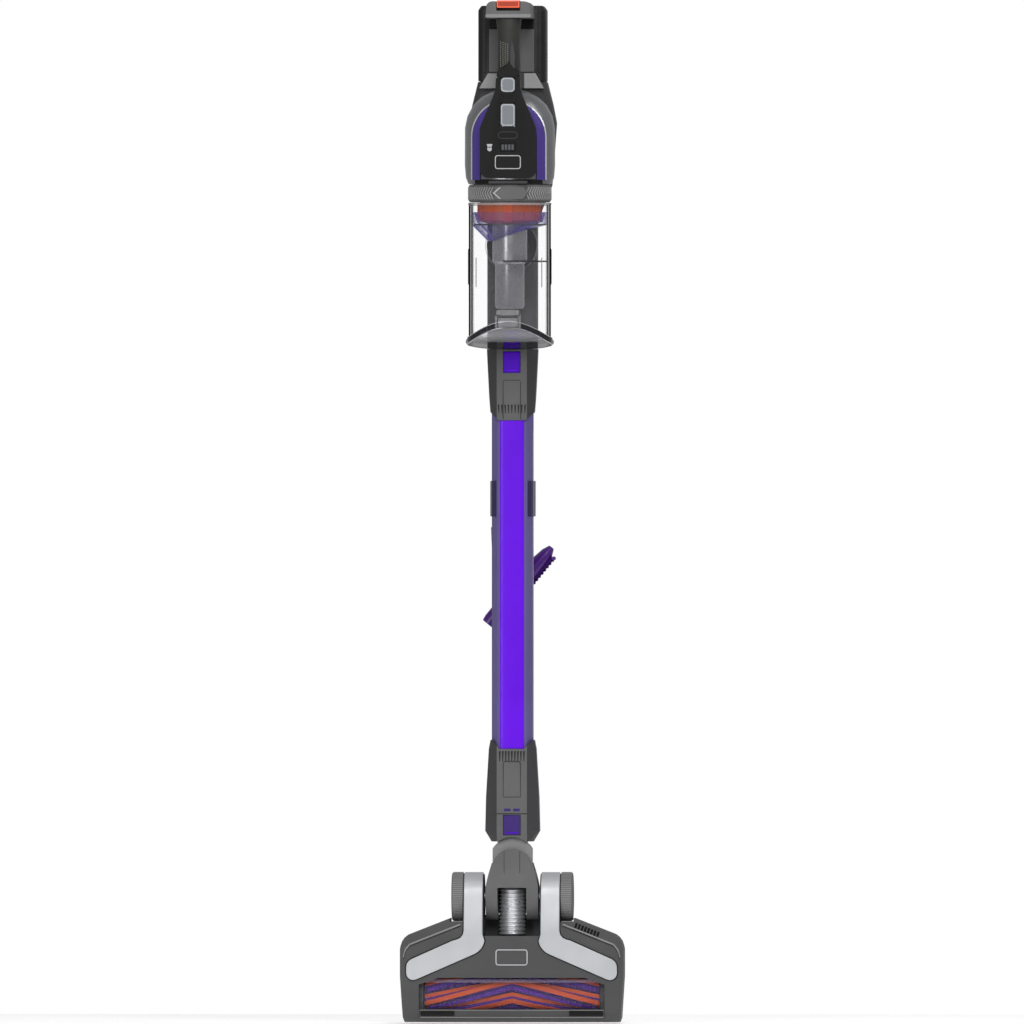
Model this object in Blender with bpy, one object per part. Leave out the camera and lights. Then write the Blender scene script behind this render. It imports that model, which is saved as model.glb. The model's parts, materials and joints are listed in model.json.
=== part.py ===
"""A cordless stick vacuum, hanging upright from its wall hook with the floor head in line.

Helpers take millimetres and write metres. Heights are measured up from the floor head's front
edge, and one empty then moves the whole object so that its origin is on the wall hook's back face.
-Y is the front, the side with the controls and the dust bowl, and +X is to the right of it.
"""

import math

import bmesh
import bpy
from mathutils import Vector

MM = 0.001
CLEAR = 0.3

# Driving dimensions
HEAD_HALF_X = 125.5
HEAD_SHOULDER_Z = 82
PITCH_Z = 141
SWIVEL_Z = 181
WHEEL_R = 27.5
FAIRING_R = 25.2
DECK_TOP_Z = 97
BRUSH_Y, BRUSH_Z, BRUSH_R = 4.5, 31, 22.5
BRUSH_PULLEY_R, MOTOR_PULLEY_R = 11, 7
BRUSH_MOTOR_Y, BRUSH_MOTOR_Z = -2, 76
SOLE_Y = 20
LOWER_JOINT_Z = 203
TUBE_BOTTOM_Z, TUBE_TOP_Z = 290, 704
SLEEVE_BOTTOM_Z, SLEEVE_TOP_Z = 307, 676
UPPER_JOINT_Z = 756
TUBE_X, TUBE_Y = 23.2, 20
HOOK_Y, HOOK_Z = 32, 738
BOWL_Y, BOWL_R, BOWL_WALL = -75, 46.1, 2.6
BOWL_EDGE_Z, BOWL_TOP_Z, DOOR_THICK = 766.5, 919.6, 5.2
PORT_Z, PORT_R = 872, 17
RING_BOTTOM_Z, RING_TOP_Z = 920.3, 940
HOUSING_Z = 940.6
GRIP_BOTTOM_Z, GRIP_TOP_Z = 1025, 1126
BATTERY_Z, BATTERY_TOP_Z = 1056.5, 1141.5
DOCK_FRONT_Y, DOCK_BACK_Y = -28, -22.3
BRIDGE_TOP_Z = 1145

# Colour, roughness, metallic
FINISHES = {
    "dark_grey": ((0.12, 0.12, 0.12), 0.5, 0.0),
    "black": ((0.015, 0.015, 0.015), 0.35, 0.0),
    "silver": ((0.5, 0.51, 0.53), 0.3, 0.8),
    "purple": ((0.13, 0.01, 0.7), 0.3, 0.2),
    "dark_purple": ((0.04, 0.01, 0.12), 0.45, 0.0),
    "wand_side": ((0.09, 0.08, 0.17), 0.35, 0.4),
    "orange": ((0.6, 0.1, 0.02), 0.45, 0.0),
    "clear": ((0.85, 0.87, 0.9), 0.05, 0.0),
    "purple_clear": ((0.12, 0.08, 0.4), 0.1, 0.0),
    "light_grey": ((0.35, 0.35, 0.36), 0.5, 0.0),
    "rubber": ((0.02, 0.02, 0.02), 0.8, 0.0),
    "steel": ((0.6, 0.6, 0.6), 0.25, 1.0),
    "board_green": ((0.01, 0.12, 0.05), 0.5, 0.0),
    "filter_white": ((0.7, 0.7, 0.66), 0.9, 0.0),
}


# ---------------------------------------------------------------- building helpers


def material_of(finish):
    """The Principled material of one finish, made once."""
    found = bpy.data.materials.get(finish)
    if found:
        return found
    colour, roughness, metallic = FINISHES[finish]
    made = bpy.data.materials.new(finish)
    made.use_nodes = True
    shader = made.node_tree.nodes["Principled BSDF"]
    shader.inputs["Base Color"].default_value = (*colour, 1)
    shader.inputs["Roughness"].default_value = roughness
    shader.inputs["Metallic"].default_value = metallic
    return made


def solid(name, points, faces, finish="dark_grey"):
    """A mesh object from points in millimetres, with its faces turned outwards."""
    mesh = bpy.data.meshes.new(name)
    mesh.from_pydata([Vector(point) * MM for point in points], [], faces)
    shaped = bmesh.new()
    shaped.from_mesh(mesh)
    bmesh.ops.recalc_face_normals(shaped, faces=shaped.faces)
    shaped.to_mesh(mesh)
    shaped.free()
    made = bpy.data.objects.new(name, mesh)
    bpy.context.scene.collection.objects.link(made)
    mesh.materials.append(material_of(finish))
    return made


def loft(name, rings, finish="dark_grey", closed=False):
    """Skin over rings with equal counts; closed joins the last ring to the first."""
    count = len(rings[0])
    points = [point for ring in rings for point in ring]
    faces = []
    spans = len(rings) if closed else len(rings) - 1
    for row in range(spans):
        low, high = row * count, (row + 1) % len(rings) * count
        for i in range(count):
            after = (i + 1) % count
            faces.append((low + i, low + after, high + after, high + i))
    if not closed:
        faces.append(tuple(reversed(range(count))))
        faces.append(tuple(range(len(points) - count, len(points))))
    return solid(name, points, faces, finish)


def box_ring(z, half_x, front, back, radius=6.0, steps=3):
    """A rounded rectangle at height z, from front to back in Y."""
    ring = []
    corners = (
        (half_x - radius, back - radius, 0),
        (radius - half_x, back - radius, 90),
        (radius - half_x, front + radius, 180),
        (half_x - radius, front + radius, 270),
    )
    for x, y, start in corners:
        for step in range(steps + 1):
            angle = math.radians(start + 90 * step / steps)
            ring.append((x + radius * math.cos(angle), y + radius * math.sin(angle), z))
    return ring


def turned(name, profile, centre, axis="Z", finish="dark_grey", closed=True, sides=32):
    """A profile of (radius, place along the axis) spun about an axis through centre."""
    rings = []
    for radius, along in profile:
        ring = []
        for i in range(sides):
            angle = math.tau * i / sides
            a, b = radius * math.cos(angle), radius * math.sin(angle)
            if axis == "Z":
                ring.append((centre[0] + a, centre[1] + b, along))
            elif axis == "X":
                ring.append((along, centre[1] + a, centre[2] + b))
            else:
                ring.append((centre[0] + b, along, centre[2] + a))
        rings.append(ring)
    return loft(name, rings, finish, closed)


def rod(name, radius, start, end, centre, axis="Z", finish="steel", sides=24):
    return turned(name, [(radius, start), (radius, end)], centre, axis, finish, False, sides)


def slab(name, outline, start, end, axis="Y", finish="dark_grey"):
    """An outline extruded: (x, z) along Y, (y, z) along X, or (x, y) along Z."""
    place = {
        "Y": lambda a, b, t: (a, t, b),
        "X": lambda a, b, t: (t, a, b),
        "Z": lambda a, b, t: (a, b, t),
    }[axis]
    return loft(name, [[place(a, b, t) for a, b in outline] for t in (start, end)], finish)


def block(name, x, y, z, finish="dark_grey"):
    """A box from three (low, high) pairs."""
    outline = [(x[0], y[0]), (x[1], y[0]), (x[1], y[1]), (x[0], y[1])]
    return slab(name, outline, z[0], z[1], "Z", finish)


def arc(centre, radius, start, end, steps):
    """Points on a circle in a plane, from start to end degrees."""
    found = []
    for step in range(steps + 1):
        angle = math.radians(start + (end - start) * step / steps)
        found.append((centre[0] + radius * math.cos(angle), centre[1] + radius * math.sin(angle)))
    return found


def mirrored(half):
    """An outline that is the same on both sides of x = 0, from its right half, bottom to top."""
    return half + [(-x, z) for x, z in reversed(half)]


def combine(target, others, operation):
    """Applies one Boolean with each of the other objects, and removes them."""
    for other in others:
        step = target.modifiers.new(other.name, "BOOLEAN")
        step.operation = operation
        step.object = other
        step.solver = "EXACT"
    graph = bpy.context.evaluated_depsgraph_get()
    mesh = bpy.data.meshes.new_from_object(target.evaluated_get(graph))
    target.modifiers.clear()
    target.data = mesh
    for other in others:
        bpy.data.objects.remove(other)
    return target


def cut(target, *cutters):
    return combine(target, cutters, "DIFFERENCE")


def join(target, *others):
    return combine(target, others, "UNION")


def keep_inside(target, *others):
    return combine(target, others, "INTERSECT")


# ---------------------------------------------------------------- wand


def wand_outline(inset=0.0):
    """The wand's section: a flat front and back with two chamfered sides."""
    half = [(13.7, -TUBE_Y), (17, -18.6), (TUBE_X, -7), (TUBE_X, 9), (17, 19)]
    shrink = 1 - inset / TUBE_Y
    return [(x * shrink, y * shrink) for x, y in half + [(-x, y) for x, y in reversed(half)]]


def make_wand():
    walls = [
        [(x, y, z) for x, y in wand_outline(inset)]
        for z, inset in ((TUBE_BOTTOM_Z, 0), (TUBE_TOP_Z, 0), (TUBE_TOP_Z, 2.2), (TUBE_BOTTOM_Z, 2.2))
    ]
    loft("wand_tube", walls, "wand_side", closed=True)
    strip = [(13.6, -20.3), (12.2, -21.3), (9.8, -21.8), (-9.8, -21.8), (-12.2, -21.3), (-13.6, -20.3)]
    slab("wand_strip", strip, SLEEVE_BOTTOM_Z + CLEAR, SLEEVE_TOP_Z - CLEAR, "Z", "purple")


def facet_ring(z, half_x, front, back):
    """A connector's section: a flat front, two long facets and chamfered back corners."""
    flat = min(17, half_x - 6)
    half = [(flat, front), (half_x, front + 14), (half_x, back - 9), (flat, back)]
    return [(x, y, z) for x, y in half + [(-x, y) for x, y in reversed(half)]]


def wand_socket(name, start, end):
    """The space the wand's end takes in a connector."""
    return slab(name, [(x * 1.02, y * 1.03) for x, y in wand_outline()], start, end, "Z")


def make_upper_connector():
    socket = TUBE_TOP_Z + 2
    sleeve = [
        facet_ring(SLEEVE_TOP_Z, 24.3, -22.6, 21.2),
        facet_ring(684, 24.6, -22.8, 21.4),
        facet_ring(702, 26, -23.2, 22),
        facet_ring(742, 28, -24, 22),
        facet_ring(UPPER_JOINT_Z, 28.6, -24, 22),
    ]
    shell = loft("upper_connector", sleeve)
    corner = [(15, 670), (15, SLEEVE_TOP_Z), (24.5, 685), (40, 670)]
    corners = [
        slab(f"corner_{side}", [(side * x, z) for x, z in corner], -60, 60)
        for side in (-1, 1)
    ]
    cut(
        shell,
        wand_socket("tube_gap", 660, socket),
        loft("spigot_gap", [box_ring(socket - 1, 21, -17, 17, 4), box_ring(800, 21, -17, 17, 4)]),
        block("pocket", (-9.8, 9.8), (-30, -18), (729.2, 753.4)),
        *corners,
    )
    block("upper_release_button", (-9.4, 9.4), (-24.9, -21.6), (729.6, 753), "purple")


def make_lower_connector():
    socket = TUBE_BOTTOM_Z - 2
    sleeve = [
        facet_ring(LOWER_JOINT_Z, 23.5, -21, 21),
        facet_ring(215, 30.5, -24, 24),
        facet_ring(253, 29.6, -24, 23.5),
        facet_ring(SLEEVE_BOTTOM_Z, 26.5, -23, 22),
        facet_ring(317, 24.6, -22.8, 21.8),
    ]
    shell = loft("lower_connector", sleeve)
    notch = mirrored([(14, SLEEVE_BOTTOM_Z), (22.8, 317), (26, 330)])
    cut(
        shell,
        wand_socket("tube_gap", socket, 330),
        loft("spigot_gap", [box_ring(190, 17, -14.5, 14.5, 4), box_ring(socket + 1, 17, -14.5, 14.5, 4)]),
        slab("notch", notch, -60, 60),
        rod("arch", 26.8, -40, 40, (0, 0, SWIVEL_Z), "Y", sides=48),
        block("pocket", (-9.9, 9.9), (-30, -17), (210.2, 233)),
    )
    block("lower_release_button", (-9.5, 9.5), (-25.2, -19.6), (210.6, 232.6), "dark_purple")


def make_hanger():
    plate = block("hanger_plate", (-16, 16), (22.3, HOOK_Y), (694, 750))
    cut(plate, block("hook_slot", (-10, 10), (24.3, 29.6), (680, 730)))


def make_accessory_store():
    """The clip collar round the wand, the clip behind it, and the two-part tool it holds."""
    collar = block("clip_collar", (-24.9, 24.9), (-9, 24), (568, 608), "dark_purple")
    hollow = [(x * 1.012, y * 1.016) for x, y in wand_outline()]
    cut(collar, slab("wand_gap", hollow, 560, 615, "Z"))

    clip = block("accessory_clip", (-11, 11), (19.4, 28), (470, 567.6))
    cut(clip, block("relief", (-7, 7), (21.4, 40), (500, 560)))

    start, end = Vector((-28.3, 0, 446)), Vector((38.7, 0, 528))
    along = (end - start).normalized()
    across = Vector((-along.z, 0, along.x))

    def tool_ring(share, low, high, near, far):
        middle = start.lerp(end, share)
        ring = []
        for i in range(16):
            angle = math.tau * i / 16
            spread = (low + high) / 2 + (high - low) / 2 * math.cos(angle)
            depth = (near + far) / 2 + (far - near) / 2 * math.sin(angle)
            point = middle + across * spread
            ring.append((point.x, depth, point.z))
        return ring

    stages = (
        (0, -7.5, 9, 29, 37),
        (0.05, -8.5, 10, 28.4, 40),
        (0.5, -7.6, 10, 28.4, 46),
        (0.85, -7.6, 9.8, 28.4, 50),
        (0.98, -6.5, 7.5, 29, 49),
        (1.06, -2.5, 4, 31, 46),
    )
    loft("accessory_body", [tool_ring(*stage) for stage in stages], "dark_purple")
    strip = ((0.5, -8.2), (0.97, -8.2), (0.97, -9.9), (0.5, -9.9))
    corners = [start.lerp(end, share) + across * spread for share, spread in strip]
    slab("accessory_bristles", [(corner.x, corner.z) for corner in corners], 32, 48, "Y", "dark_purple")


# ---------------------------------------------------------------- handheld unit


def bowl_edge(y):
    """Height of the bowl's lower edge: it falls gently to the back and curls up at the front."""
    ahead = max(0, -88 - y) / 33
    return BOWL_EDGE_Z - 0.13 * (y - BOWL_Y) + 12.6 * ahead * ahead


def bowl_edge_line(drop):
    """The lower edge seen from the side, from the front to the back."""
    return [(y, bowl_edge(y) - drop) for y in range(-126, -17, 6)]


def make_duct():
    rings = [
        box_ring(900, 24, -15, 18, 5),
        box_ring(764, 24, -15, 18, 5),
        box_ring(758, 17.5, -13.5, 13.5, 4),
        box_ring(716, 17.5, -13.5, 13.5, 4),
        box_ring(716, 20.6, -16.6, 16.6, 4),
        box_ring(UPPER_JOINT_Z + CLEAR, 20.6, -16.6, 16.6, 4),
        box_ring(UPPER_JOINT_Z + CLEAR, 28, -19, 22),
        box_ring(905, 28, -19, 22),
    ]
    duct = loft("inlet_duct", rings)
    cut(duct, rod("port", PORT_R, -25, -10, (0, 0, PORT_Z), "Y"))
    back = BOWL_Y + BOWL_R
    seal = [(28, -19.3), (20, -19.3), (20, back + CLEAR), (28, back + CLEAR)]
    turned("inlet_seal", seal, (0, 0, PORT_Z), "Y", "rubber")


def make_bowl():
    inner = BOWL_R - BOWL_WALL
    wall = [(BOWL_R, 740), (BOWL_R, BOWL_TOP_Z), (inner, BOWL_TOP_Z), (inner, 740)]
    bowl = turned("dust_bowl", wall, (0, BOWL_Y, 0), "Z", "clear", sides=48)
    cut(
        bowl,
        rod("port", PORT_R, -40, -20, (0, 0, PORT_Z), "Y"),
        slab("under", [(-126, 700), *bowl_edge_line(0), (-18, 700)], -60, 60, "X"),
    )

    turned(
        "inlet_flap",
        [(0.6, -34), (PORT_R - 0.6, -34), (PORT_R - 0.6, -32.4), (0.6, -32.4)],
        (0, 0, PORT_Z),
        "Y",
        "rubber",
        closed=False,
        sides=24,
    )


def make_bowl_door():
    plate = [*bowl_edge_line(CLEAR), *reversed(bowl_edge_line(DOOR_THICK))]
    door = slab("bowl_door", plate, -60, 60, "X", "clear")
    keep_inside(door, rod("rim", BOWL_R + 1.6, 700, 820, (0, BOWL_Y, 0), sides=48))
    front = BOWL_Y - BOWL_R
    latch = [(-14.5, 779), (14.5, 779), (14.5, 797), (10.5, 801), (-10.5, 801), (-14.5, 797)]
    slab("door_latch", latch, front - 6, front - 2.2, "Y", "clear")


def skirt_ring(radius, right_z, left_z):
    """A ring round the bowl's axis that drops from the right to the left."""
    ring = []
    for i in range(40):
        angle = math.tau * i / 40
        share = (1 - math.cos(angle)) / 2
        z = right_z + (left_z - right_z) * share
        ring.append((radius * math.cos(angle), BOWL_Y + radius * math.sin(angle), z))
    return ring


def make_separator():
    centre = (0, BOWL_Y, 0)
    tube = [(10, 801), (15, 801), (16.5, 804), (16.5, 851), (19.5, 854), (19.5, 895), (15, 895), (10, 860)]
    turned("cyclone_tube", tube, centre, "Z", "light_grey")
    skirt = (
        (40, 909, 909),
        (37, 898, 898),
        (22, 894.6, 883),
        (21, 894.2, 879),
        (24, 890.5, 876),
        (43, 895, 895),
        (43, 909, 909),
    )
    loft("separator_skirt", [skirt_ring(*step) for step in skirt], "purple_clear", closed=True)
    frame = [(22, 895.4), (35, 899.5), (35, 919.8), (31, 919.8), (31, 902), (16, 898.4), (16, 895.4)]
    turned("filter_frame", frame, centre, "Z", "orange")
    rings = []
    for z, hole in ((903, False), (936, False), (936, True), (903, True)):
        ring = []
        for i in range(48):
            radius = 12 if hole else (29.5 if i % 2 else 26)
            angle = math.tau * i / 48
            ring.append((radius * math.cos(angle), BOWL_Y + radius * math.sin(angle), z))
        rings.append(ring)
    loft("pleated_filter", rings, "filter_white", closed=True)
    outside = [(45, RING_BOTTOM_Z), (46.4, 922.5), (46.4, 937.5), (45, RING_TOP_Z)]
    grip = [(37, RING_BOTTOM_Z), *outside, (37, RING_TOP_Z)]
    turned("filter_ring", grip, centre, "Z", "light_grey", sides=48)


def housing_rings(grow=0.0):
    """The motor housing's sections, from its flange up to its domed top."""
    sections = (
        (HOUSING_Z, 46.4, 0.0),
        (948, 49.4, 0.0),
        (962, 50.6, 0.0),
        (1004, 50.4, 0.0),
        (1017, 47.6, 2.0),
        (1029, 41.0, 6.0),
        (1038, 31.5, 12.0),
        (1044, 20.0, 20.0),
        (1047, 9.0, 29.0),
    )
    back = -20.0
    rings = []
    for z, half_x, lean in sections:
        front = BOWL_Y - 46.4 + lean
        radius = min(half_x, (back - front) / 2) - 1.5
        rings.append(box_ring(z, half_x + grow, front - grow, back + grow, radius + grow, 5))
    if grow:
        rings[-1] = [(x, y, z + grow) for x, y, z in rings[-1]]
    return rings


def console_outline():
    """The black control cover: a rounded shield that narrows upwards into the handle."""
    half = [(0, 947), (20, 947), *arc((22.4, 956), 9, -80, 0, 3), (31.4, 1003), (25, 1019)]
    return mirrored([*half, (17.5, 1036), (14, 1046), (13.6, 1058), (9, 1062)])[1:]


def arch_outline(half_x, top_z, bottom_z):
    """A door-shaped outline with a round top."""
    return [(-half_x, bottom_z), (half_x, bottom_z), *arc((0, top_z - half_x), half_x, 0, 180, 16)]


def make_housing():
    housing = loft("motor_housing", housing_rings(), "silver")
    chamber = [(39, 930), (39, 996), (27, 1004), (27, 1012)]
    cut(housing, turned("chamber", chamber, (0, BOWL_Y, 0), "Z", closed=False))

    band = slab("accent_band", arch_outline(40.8, 1034, 945), -140, -75, "Y", "purple")
    keep_inside(band, loft("outer", housing_rings(1.4)))
    cut(
        band,
        slab("console_gap", arch_outline(31.9, 1025, 930), -150, -60, "Y"),
        loft("inner", housing_rings(CLEAR)),
    )

    console = slab("console_cover", console_outline(), -125.4, -111.9, "Y", "black")
    cut(
        console,
        loft("body", housing_rings(1.4 + CLEAR)),
        block("power_gap", (-8.4, 8.4), (-140, -121.5), (1004.6, 1030.4)),
        block("boost_gap", (-8.3, 8.3), (-140, -121.5), (1042.7, 1059.8)),
        block("gauge_gap", (-8.8, 8.8), (-140, -123.8), (976.7, 986.3)),
    )
    block("power_button", (-8, 8), (-127, -124.2), (1005, 1030), "silver")
    block("boost_button", (-7.9, 7.9), (-127, -124.2), (1043.1, 1059.4), "silver")
    block("gauge_lens", (-8.5, 8.5), (-125.3, -124.1), (977, 986), "clear")


def make_motor():
    centre = (0, BOWL_Y, 0)
    can = rod("motor_can", 24, 958, 1003, centre, "Z", "steel")
    cut(can, rod("shaft_gap", 2.8, 950, 972, centre, sides=16))
    shaft = [(2.5, 943), (2.5, 970)]
    turned("motor_shaft", shaft, centre, "Z", "steel", closed=False, sides=16)
    fan = rod("fan_wheel", 34, 953, 955, centre, "Z", "black")
    blades = []
    for i in range(9):
        angle = math.tau * i / 9
        direction = Vector((math.cos(angle), math.sin(angle)))
        side = Vector((-direction.y, direction.x)) * 0.8
        root, tip = direction * 6, direction * 32 + side * 8
        corners = [root - side, tip - side, tip + side, root + side]
        outline = [(c.x, BOWL_Y + c.y) for c in corners]
        blades.append(slab(f"blade_{i}", outline, 945, 953.6, "Z"))
    join(fan, rod("hub", 7, 945, 953.6, centre), *blades)
    cut(fan, rod("fan_gap", 2.8, 940, 960, centre, sides=16))


def make_rear_shell():
    rings = [
        box_ring(905.3, 30, -19.6, 23, 8),
        box_ring(940, 44, -19.6, 28, 10),
        box_ring(1010, 49, -19.6, 36, 12),
        box_ring(1030, 45, -19.6, 38, 10),
        box_ring(1056, 38.4, -19.6, 38, 7),
    ]
    shell = loft("rear_shell", rings)
    join(
        shell,
        block("root", (-25.5, 25.5), (DOCK_FRONT_Y, -12), (1048.5, 1055.8)),
        block("plate", (-25.5, 25.5), (DOCK_FRONT_Y, DOCK_BACK_Y), (1050, GRIP_TOP_Z)),
        slab("shoulder", mirrored([(37, 1048.5), (27, 1066)]), DOCK_FRONT_Y - 2, DOCK_BACK_Y),
    )
    cut(shell, block("bay", (-33, 33), (-15, 30), (950, 1070)))
    block("control_board", (-26, 26), (-9, -7.4), (966, 1040), "board_green")
    block("terminal_block", (-17, 17), (4, 16), (1040, 1056), "black")


def make_handle():
    rings = [
        box_ring(GRIP_BOTTOM_Z, 15.5, -111.6, -78, 11),
        box_ring(1045, 14, -111.6, -80, 10),
        box_ring(1062.3, 13, -111.6, -82, 10),
        box_ring(1068, 12.8, -117.5, -82, 11),
        box_ring(1095, 12, -118.5, -84, 10),
        box_ring(1115, 12.8, -117, -83, 10),
        box_ring(GRIP_TOP_Z, 14, -115, -80, 10),
    ]
    grip = loft("handle", rings)
    cut(grip, loft("body", housing_rings(CLEAR)))

    low, high = GRIP_TOP_Z + CLEAR, BRIDGE_TOP_Z
    right = [(26, low), (25, high - 8), *arc((18, high - 7), 7, 10, 90, 3), (0, high)]
    outline = right + [(-x, z) for x, z in reversed(right[:-1])]
    bridge = slab("handle_bridge", outline, -117, DOCK_BACK_Y)
    cut(bridge, block("release_gap", (-13.2, 13.2), (-130, -93), (1134.5, 1160)))
    block("battery_release", (-12.9, 12.9), (-117.8, -93.4), (1137.6, 1146), "orange")


def make_battery():
    rings = [
        box_ring(1135, 34, -18, 34, 4),
        box_ring(BATTERY_Z, 34, -18, 34, 4),
        box_ring(BATTERY_Z, 38, -22, 38, 6),
        box_ring(1136.5, 38, -22, 38, 6),
        box_ring(BATTERY_TOP_Z, 34.5, -19, 35, 5),
    ]
    loft("battery_case", rings, "black")
    holder = block("battery_cells", (-31, 31), (-14, 30), (1061, 1065), "steel")
    places = [(-20, -3), (0, -3), (20, -3), (-10, 16), (10, 16)]
    cells = [
        rod(f"cell_{i}", 9.2, 1064, 1128, (x, y + 1, 0), "Z", sides=16)
        for i, (x, y) in enumerate(places)
    ]
    join(holder, *cells)


# ---------------------------------------------------------------- neck


def make_knuckle():
    outline = [
        *arc((0, SWIVEL_Z), 26.2, 33, 147, 12),
        *arc((0, SWIVEL_Z), 22, 180, 360, 16),
    ]
    knuckle = slab("knuckle", outline, -15.5, 15.5)
    join(knuckle, loft("spigot", [box_ring(190, 16.6, -14.1, 14.1, 4), box_ring(284, 16.6, -14.1, 14.1, 4)]))
    cut(knuckle, rod("bore", 11, 150, 300, (0, 0, 0), "Z"))


def neck_body(name):
    """The fork between knuckle and floor head, before it is split into its two shells."""
    half = [(29.5, 110), (29.5, 152), (28, 160), (26, 168), (22.6, 179)]
    front_view = half + arc((0, 172.6), 22.4, 18, 162, 12) + [(-x, z) for x, z in reversed(half)]
    side_view = [
        (-21, 200),
        (-21, 168),
        (-25, 152),
        *arc((0, PITCH_Z), 26, 180, 360, 16),
        (25, 152),
        (21, 168),
        (21, 200),
    ]
    body = slab(name, front_view, -60, 60)
    keep_inside(body, slab("side_view", side_view, -80, 80, "X"))
    return cut(
        body,
        rod("knuckle_gap", 26.8, -15.9, 15.9, (0, 0, SWIVEL_Z), "Y", sides=48),
        block("fork_gap", (-16.2, 16.2), (-60, 18), (90, 151)),
        rod("air_gap", 11, 145, 160, (0, 0, 0), "Z"),
        rod("axle_gap", 5.4, -60, 60, (0, 0, PITCH_Z), "X"),
    )


def make_neck():
    cut(neck_body("neck_front"), block("rear_half", (-60, 60), (-0.15, 80), (80, 220)))
    cut(neck_body("neck_rear"), block("front_half", (-60, 60), (-80, 0.15), (80, 220)))


def make_hose():
    """The corrugated hose that bends at the pitch joint."""
    pitch, low, high = 4.3, DECK_TOP_Z + 0.5, 150.4
    count = int((high - low) / pitch)
    outer = []
    for i in range(count):
        z = low + i * (high - low) / count
        outer += [(13.6, z), (15.4, z + pitch * 0.5)]
    outer.append((13.6, high))
    profile = outer + [(11.4, high), (11.4, low)]
    turned("hose", profile, (0, 0, 0), "Z", "silver", sides=20)


# ---------------------------------------------------------------- floor head


def head_outline():
    """The head seen from the front: shoulders, wheel recesses, fairings and the neck's gap."""
    half = [
        (120.8, 0),
        (122.6, 5),
        (HEAD_HALF_X, 52),
        (HEAD_HALF_X, HEAD_SHOULDER_Z),
        *arc((107, 83), 18, 10, 62, 3),
        (69.5, 117),
        (69.5, 112.9),
        (54, 112.9),
        (54, 175),
        (31.6, 175),
        (31.6, DECK_TOP_Z),
    ]
    return mirrored(half)


def deck_profile(grow=0.0):
    """The head's front surface seen from the side, from its nose to the top of the wheel fairing."""
    deck = [(-8, 0), (-16, 1.8), (-22, 6.5), (-25.5, 14), (-28.5, 30), (-29.6, 45), (-30.5, 70)]
    deck = [(y - grow, z) for y, z in deck + [(-30.5, 105), (-28.8, 122)]]
    return deck + arc((0, PITCH_Z), FAIRING_R + grow, 178, 90, 8)


def make_head_shell():
    rear = arc((0, PITCH_Z), FAIRING_R, 80, -20, 8) + [(SOLE_Y, 118), (SOLE_Y, 0)]
    shell = slab("head_shell", head_outline(), -60, 60)
    keep_inside(shell, slab("side_view", deck_profile() + rear, -140, 140, "X"))
    window = [(-82.4, 50), (-104.4, 42.3), (-104.4, 14.9), (104.4, 14.9), (104.4, 42.3), (82.4, 50)]
    brush_centre = (0, BRUSH_Y, BRUSH_Z)
    cut(
        shell,
        rod("brush_chamber", 25.8, -107, 107, brush_centre, "X", sides=40),
        block("chamber_mouth", (-107, 107), (BRUSH_Y, 40), (BRUSH_Z - 25.6, BRUSH_Z + 25.6)),
        slab("window_gap", window, -60, 0),
        block("motor_bay", (-98, -34), (-24, 40), (60, 92)),
        block("weight_bay", (34, 98), (-24, 40), (60, 92)),
        block("side_bay", (110, 121), (-18, 40), (14, 78)),
        block("belt_bay", (-120, -109.5), (-18, 40), (14, 87)),
        rod("motor_shaft_gap", 3, -112, -95, (0, BRUSH_MOTOR_Y, BRUSH_MOTOR_Z), "X", sides=16),
        rod("brush_shaft_gap", 5.4, -112, -100, brush_centre, "X"),
        block("air_path", (-13, 13), (-11, 11), (48, 110)),
        rod("axle_gap", 5.4, -60, 60, (0, 0, PITCH_Z), "X"),
    )
    join(shell, block("rear_wall", (-31.6, 31.6), (17.6, SOLE_Y), (90, 120.5)))
    nose = block("nose_gap", (-104.3, 104.3), (-40, -6), (5, 14.6))
    combine(nose, [slab("nose_core", nose_core(3.2), -140, 140, "X")], "DIFFERENCE")
    cut(shell, nose)
    lens = block("front_lens", (-104, 104), (-40, -6), (5.3, 14.3), "clear")
    keep_inside(lens, slab("nose_skin", nose_core(0.2), -140, 140, "X"))
    cut(lens, slab("nose_core", nose_core(2.9), -140, 140, "X"))


def nose_core(depth):
    """The nose's section, shrunk by depth."""
    return [(y + depth, z) for y, z in deck_profile()[:6]] + [(20, 45), (20, 0)]


def make_sole():
    half = [(118, 1), (120.8, 8), (123.8, 52), (124, 80), (108, 98), (70, 110)]
    half += [(54.3, 110), (54.3, 118), (32, 118), (32, 96)]
    plate = slab("sole_plate", mirrored(half), SOLE_Y + CLEAR, SOLE_Y + 4.3)
    cut(plate, block("brush_slot", (-99.6, 99.6), (0, 40), (9, 54.5)))


def make_window():
    outline = [(-82, 49.6), (-104, 42), (-104, 15.3), (104, 15.3), (104, 42), (82, 49.6)]
    pane = slab("brush_window", outline, -60, 0, "Y", "clear")
    keep_inside(pane, rod("outside", 27.6, -120, 120, (0, BRUSH_Y, BRUSH_Z), "X", sides=64))
    cut(pane, rod("inside", 25.6, -120, 120, (0, BRUSH_Y, BRUSH_Z), "X", sides=64))


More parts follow.
